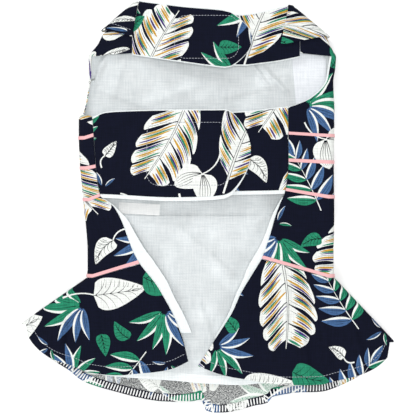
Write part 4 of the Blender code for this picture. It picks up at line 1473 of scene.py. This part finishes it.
def near_line(line):
    """How far a place is from a closed line, as a function."""
    ends = np.roll(line, -1, axis=0)
    run = ends - line
    length = np.maximum((run ** 2).sum(1), 1e-9)

    def distance(x, y):
        share = np.clip(((x - line[:, 0]) * run[:, 0] + (y - line[:, 1]) * run[:, 1]) / length, 0, 1)
        return float(np.hypot(x - line[:, 0] - share * run[:, 0], y - line[:, 1] - share * run[:, 1]).min())

    return distance


def make_strap_pair(place, edges, seam, sizes, offset, fastener_size):
    """The left strap lies over the right one, with a pad of hook and loop tape between them."""
    left_seam = seam(-1, sum(edges(0.0)) / 2)
    left_end = left_seam + sizes["reach"]
    right_end = left_end - sizes["overlap"]
    over = over_layer(left_seam, left_end, right_end - STRAP_INSET, sizes["to_end"])
    width, height = sizes["patch"]
    pad_x = left_end - sizes["to_end"] - width / 2
    pad_y = sum(edges(pad_x)) / 2
    patch = rounded_rectangle(pad_x, pad_y, width, height, PATCH_ROUNDING)
    patch_distance = near_line(patch)

    def pulled_in(x, y):
        return -0.35 * math.exp(-((patch_distance(x, y) / 1.1) ** 2))

    layers = {"left": (-1, left_end, over, 0.0), "right": (1, right_end, under_layer, STRAP_INSET)}
    made = {}
    for hand, (side, end_x, layer, inset) in layers.items():
        def height_at(x, y, layer=layer):
            return front_height(x, y) + layer(x)

        outline = strap_outline(side, edges, seam, end_x, inset)
        cloth = Lying(outline, lambda x, y: height_at(x, y) + 0.2)
        thing = shell(
            f"{place}_strap_{hand}_print", cloth, printed, thickness=0.6,
            shapes=print_for(cloth.border(), (offset[0], offset[1])) if hand == "left" else
            print_for(cloth.border(), (offset[0] + 90, offset[1] + 37)),
            swell=pulled_in if hand == "left" else None,
        )
        finish_piece(thing, "print_cotton", f"{place}_strap_{hand}")
        wide = strap_outline(
            side, edges, seam, end_x, inset, sizes["below"], STRAP_BINDING_REVEAL,
        )
        backing = Lying(wide, lambda x, y: height_at(x, y) - 0.3)
        under = shell(f"{place}_strap_{hand}_backing", backing, lambda colour: "hemmed", thickness=0.36)
        finish_piece(under, "white_lining")
        declare(cloth)
        declare(backing)
        made[hand] = thing
    tape_outline = rounded_rectangle(pad_x, pad_y, *fastener_size, 2.0)
    tape_lift = CLOTH / 2 + GAP + TAPE / 2
    tape = Lying(tape_outline, lambda x, y: front_height(x, y) + tape_lift)
    pad = shell(f"{place}_hook_and_loop", tape, lambda colour: "tape", lambda colour: "tape", TAPE - 0.1)
    finish_piece(pad, "fastener_tape", f"{place}_fastener")
    declare(tape)
    return made, patch


# Facings, lining and label.
BULGE = {-1: curve_of(SKIRT_EDGE_LEFT, 1, 1.0, HALF_HEM), 1: curve_of(SKIRT_EDGE_RIGHT, 1, 1.0, HALF_HEM)}


def skirt_edge_x(side, y):
    hem = HEM_FRONT_LEFT[-1] if side < 0 else HEM_FRONT_RIGHT[0]
    edge, edge_y = (2, 5) if side < 0 else (3, 6)
    top_x, top_y = BODY_COLUMNS[edge][-1], BODY_COLUMNS[edge_y][-1]
    hem_y = Y_WAIST - SKIRT_LENGTH * hem[1]
    t = clamp((top_y - y) / (top_y - hem_y))
    return mix(top_x, hem[0] * HALF_HEM, t) + BULGE[side](t)


def front_edge_x(side, y):
    column = BODY_COLUMNS[5 if side < 0 else 6]
    if y > column[-1]:
        return (EDGE_LEFT if side < 0 else EDGE_RIGHT)(-y)
    return skirt_edge_x(side, y)


def make_facing(hand, side, table):
    reach = curve_of(table, 1, 1.0, FACING_REACH)
    start, end = Y_SIDE - FACING_START * SIDE_HEIGHT, Y_WAIST - FACING_DEPTH[side] * SKIRT_LENGTH
    downs = [k / 70 for k in range(71)]
    ys = [mix(start, end, d) for d in downs]
    inner = [(front_edge_x(side, y) + side * FACING_TUCK, y) for y in ys]
    outer = [(front_edge_x(side, y) - side * reach(d), y) for d, y in zip(downs, ys)]
    cloth = Lying(outer + inner[::-1], lambda x, y: front_height(x, y) - CLOTH - GAP)
    thing = shell(f"front_facing_{hand}", cloth, lambda colour: "hemmed")
    finish_piece(thing, "white_lining", f"facing_{hand}")
    declare(cloth)


def lining_height(x, y):
    lowest = Curve([r[0] for r in HEM_BACK], [r[1] for r in HEM_BACK])(-LINING_SHOULDER)
    swell = GATHER_DEPTH * clamp((Y_WAIST - y) / (SKIRT_LENGTH * lowest))
    rumple = crease(x, y, 21.4, 1.3) * smooth((Y_WAIST + 45 - y) / 30) + folds(LINING_FOLDS, x, y)
    return back_height(x, y) + CLOTH + GAP + swell + rumple


def make_lining():
    top_y, top_half = Y_SIDE - LINING_TOP * SIDE_HEIGHT, LINING_SHOULDER * HALF_CHEST
    hem = curve_of(LINING_HEM, 1, HALF_HEM, SKIRT_LENGTH)
    first, last = LINING_HEM[0][0] * HALF_HEM, LINING_HEM[-1][0] * HALF_HEM
    hem_line = [(x, Y_WAIST - hem(x)) for x in np.linspace(first, last, 90)]
    cloth = Lying([(-top_half, top_y), *hem_line, (top_half, top_y)], lining_height)
    thing = shell("skirt_lining_cloth", cloth, lambda colour: "lining")
    finish_piece(thing, "white_lining", "skirt_lining")
    band = Lying(
        [(x, y + 0.2) for x, y in hem_line] + [(x, y + LINING_HEM_BAND) for x, y in hem_line[::-1]],
        lambda x, y: lining_height(x, y) + CLOTH / 2 + 0.15,
    )
    folded = shell("skirt_lining_hem", band, lambda colour: "hemmed", thickness=0.4)
    finish_piece(folded, "white_lining")
    declare(cloth, [folded, make_label()])


def make_side_panel():
    """The lining's side panel by the right armhole, lapped over the middle one at a pressed seam. Its lawn is
    painted a little lighter than the lining's, as painted light on that side.
    """
    levels = np.linspace(135, 76, 24)
    seam = [(panel_seam_x(y), y) for y in levels]
    armhole = [(min(95.0, EDGE_RIGHT(-y) + 2.5), y) for y in levels[::-1]]
    cloth = Lying([*seam, *armhole], lambda x, y: back_height(x, y) + CLOTH / 2 + 0.75, 1.4)
    # Its colour is painted lighter than the middle panel's: painted light, not a different cloth.
    thing = shell("side_panel_lining", cloth, lambda colour: "side_lining", thickness=0.9)
    finish_piece(thing, "white_lining")
    declare(cloth)


def make_label():
    centre_x = LABEL_ACROSS * HALF_CHEST
    top = Y_SIDE - LINING_TOP * SIDE_HEIGHT
    across = LABEL_SIZE[0] * abs(math.sin(LABEL_TILT))
    centre_y = top + GAP + (LABEL_SIZE[1] * math.cos(LABEL_TILT) + across) / 2
    outline = rounded_rectangle(centre_x, centre_y, *LABEL_SIZE, 0.4, LABEL_TILT)
    cloth = Lying(outline, lambda x, y: back_height(x, y) + CLOTH + GAP, 1.0)
    thing = shell("blank_care_label", cloth, lambda colour: "label", thickness=0.5)
    return finish_piece(thing, "label_tape", "care_label")


# Sewing.
def surface_of(*things):
    """Every face of these pieces, for a line to be dropped on from above."""
    points, faces = [], []
    for thing in things:
        start = len(points)
        points += [v.co * 1000 for v in thing.data.vertices]
        faces += [tuple(start + k for k in p.vertices) for p in thing.data.polygons]
    return BVHTree.FromPolygons(points, faces)


def dropped(tree, x, y):
    hit = tree.ray_cast(Vector((x, y, 100.0)), Vector((0, 0, -1)))[0]
    return hit.z if hit else None


def along_line(line, closed):
    """A function of the length along a line in plan, and the line's whole length."""
    points = np.array(list(line) + ([line[0]] if closed else []), float)
    lengths = np.concatenate([[0.0], np.cumsum(np.linalg.norm(np.diff(points, axis=0), axis=1))])

    def at(length):
        return float(np.interp(length, lengths, points[:, 0])), float(np.interp(length, lengths, points[:, 1]))

    return at, float(lengths[-1])


def stitch(points, width):
    """A short length of thread whose ends go down into the cloth."""
    count, sides = len(points), 6
    places = []
    for k, point in enumerate(points):
        after, before = points[min(k + 1, count - 1)], points[max(k - 1, 0)]
        along = (after - before).normalized()
        across = along.cross(Vector((0, 0, 1))).normalized()
        up = across.cross(along)
        for n in range(sides):
            angle = 2 * math.pi * n / sides
            places.append(point + (across * math.cos(angle) + up * math.sin(angle)) * width / 2)
    faces = [tuple(range(sides))[::-1], tuple((count - 1) * sides + n for n in range(sides))]
    for k in range(count - 1):
        for n in range(sides):
            a, b = k * sides + n, k * sides + (n + 1) % sides
            faces.append((a, b, b + sides, a + sides))
    return places, faces


def sew(name, tree, lines, material, width=STITCH_WIDTH):
    """Rows of straight stitches. lines: (points in plan, whether closed)."""
    points, faces = [], []
    for line, closed in lines:
        at, total = along_line(line, closed)
        count = int(total / STITCH_PITCH)
        for k in range(count):
            start = k * total / count
            run = []
            for n, depth in enumerate((-0.35, 0.02, 0.08, 0.02, -0.35)):
                x, y = at(start + STITCH_LENGTH * n / 4)
                z = dropped(tree, x, y)
                if z is not None:
                    run.append(Vector((x, y, z + depth)))
            if len(run) == 5:
                new_points, new_faces = stitch(run, width)
                faces += [tuple(len(points) + i for i in f) for f in new_faces]
                points += new_points
    thing = solid(name, [p * MM for p in points], faces, [material] * len(faces), None, 80)
    return finish_piece(thing, "print_cotton")


# Topstitching along the collar's leaf, in plan.
COLLAR_STITCHES = (
    ((-81, 148.4), (-74, 146.2), (-66, 143.6), (-61.2, 141.8)),
    ((61.5, 138.6), (70, 140.2), (80, 142.6), (90, 145.6)),
)


def overlock(name, tree, hem, material):
    """Rungs of thread over the turned-up hem, each with a slight slant."""
    at, total = along_line(hem, False)
    points, faces = [], []
    for k in range(int(total / OVERLOCK_PITCH)):
        start = Vector(at((k + 0.5) * OVERLOCK_PITCH))
        ahead = Vector(at((k + 0.5) * OVERLOCK_PITCH + 0.5))
        along = (ahead - start).normalized()
        inward = Vector((-along.y, along.x))
        run = []
        for n in range(5):
            place = start + inward * mix(OVERLOCK_FROM, OVERLOCK_TO, n / 4) + along * (0.12 * n)
            z = dropped(tree, place.x, place.y)
            if z is not None:
                run.append(Vector((place.x, place.y, z + (0.1 if 0 < n < 4 else -0.3))))
        if len(run) == 5:
            new_points, new_faces = stitch(run, OVERLOCK_THREAD)
            faces += [tuple(len(points) + i for i in f) for f in new_faces]
            points += new_points
    thing = solid(name, [p * MM for p in points], faces, [material] * len(faces), None, 80)
    return finish_piece(thing, "print_cotton")


def front_hem_line(side, inset):
    """A line this far inside the front flap's hem, from its side to its front edge."""
    table = HEM_FRONT_LEFT if side < 0 else HEM_FRONT_RIGHT
    hem = curve_of(table, 1, HALF_HEM, SKIRT_LENGTH)
    first, last = table[0][0] * HALF_HEM, table[-1][0] * HALF_HEM
    xs = np.linspace(first, last, 120)
    line = np.array([(x, Y_WAIST - hem(x)) for x in xs])
    along = np.gradient(line, axis=0)
    along /= np.linalg.norm(along, axis=1, keepdims=True)
    return line + np.column_stack([-along[:, 1], along[:, 0]]) * inset


def main():
    make_body()
    flaps, skirt_back, turned_up = make_skirt()
    collar = make_collar()
    neck, neck_patch = make_strap_pair(
        "neck", neck_edges, neck_seam, {**NECK_STRAP, "below": STRAP_BINDING_REVEAL}, (20.0, 100.0), (48, 30),
    )
    belly, belly_patch = make_strap_pair(
        "belly", belly_edges, belly_seam, {**BELLY_STRAP, "below": STRAP_FACING_REVEAL}, (95.0, 40.0),
        (62, 46),
    )
    make_facing("left", -1, FACING_LEFT)
    make_facing("right", 1, FACING_RIGHT)
    make_lining()
    make_side_panel()
    sew("fastener_topstitching", surface_of(neck["left"], belly["left"]),
        [(neck_patch, True), (belly_patch, True)], "thread")
    hem = [(v[0] * HALF_HEM, Y_WAIST - v[1] * SKIRT_LENGTH) for v in HEM_BACK]
    smooth_hem = Curve([x for x, _ in hem], [y for _, y in hem])
    line = [(x, smooth_hem(x)) for x in np.linspace(hem[0][0] + 2, hem[-1][0] - 2, 400)]
    overlock("hem_overlock", surface_of(skirt_back, turned_up), line, "white_thread")
    sew("collar_topstitching", surface_of(collar), [(line, False) for line in COLLAR_STITCHES], "thread")
    sew("hem_topstitching", surface_of(*flaps),
        [(front_hem_line(-1, HEM_STITCH_IN), False), (front_hem_line(1, HEM_STITCH_IN), False)], "thread")


main()


def add_light(name, place, target, size, power):
    data = bpy.data.lights.new(name, "AREA")
    data.shape, data.size, data.energy = "DISK", size, power
    lamp = bpy.data.objects.new(name, data)
    lamp.location = place
    lamp.rotation_mode = "QUATERNION"
    lamp.rotation_quaternion = (Vector(target) - Vector(place)).to_track_quat("-Z", "Y")
    bpy.context.scene.collection.objects.link(lamp)


def make_stage():
    mesh = bpy.data.meshes.new("floor")
    half = 4.0
    mesh.from_pydata([(-half, -half, 0), (half, -half, 0), (half, half, 0), (-half, half, 0)], [], [(0, 1, 2, 3)])
    mesh.materials.append(MATERIALS["floor"])
    floor = bpy.data.objects.new("floor", mesh)
    floor.location.z = -0.0004
    bpy.context.scene.collection.objects.link(floor)
    world = bpy.data.worlds.new("studio")
    bpy.context.scene.world = world
    world.use_nodes = True
    sky = world.node_tree.nodes["Background"]
    sky.inputs[0].default_value = (1.0, 1.0, 1.0, 1.0)
    sky.inputs[1].default_value = 0.5
    add_light("overhead", (0, 0, 1.7), (0, 0, 0), 0.5, 15.0)
    add_light("key", (-0.9, 0.9, 0.9), (0, 0, 0), 0.7, 8.0)
    add_light("fill", (0.3, -1.5, 0.7), (0, 0, 0), 0.7, 7.5)


def make_camera():
    """Straight above the dress, with the photo's frame 332.8 mm wide at the cloth's height."""
    frame_width, lens, sensor, height = 332.8 * MM, 100.0, 36.0, 9 * MM
    data = bpy.data.cameras.new("camera")
    data.lens, data.sensor_width = lens, sensor
    camera = bpy.data.objects.new("camera", data)
    camera.location = (0.16 * MM, -0.2 * MM, height + frame_width * lens / sensor)
    bpy.context.scene.collection.objects.link(camera)
    bpy.context.scene.camera = camera


make_stage()
make_camera()
bpy.context.scene.view_settings.view_transform = "Standard"
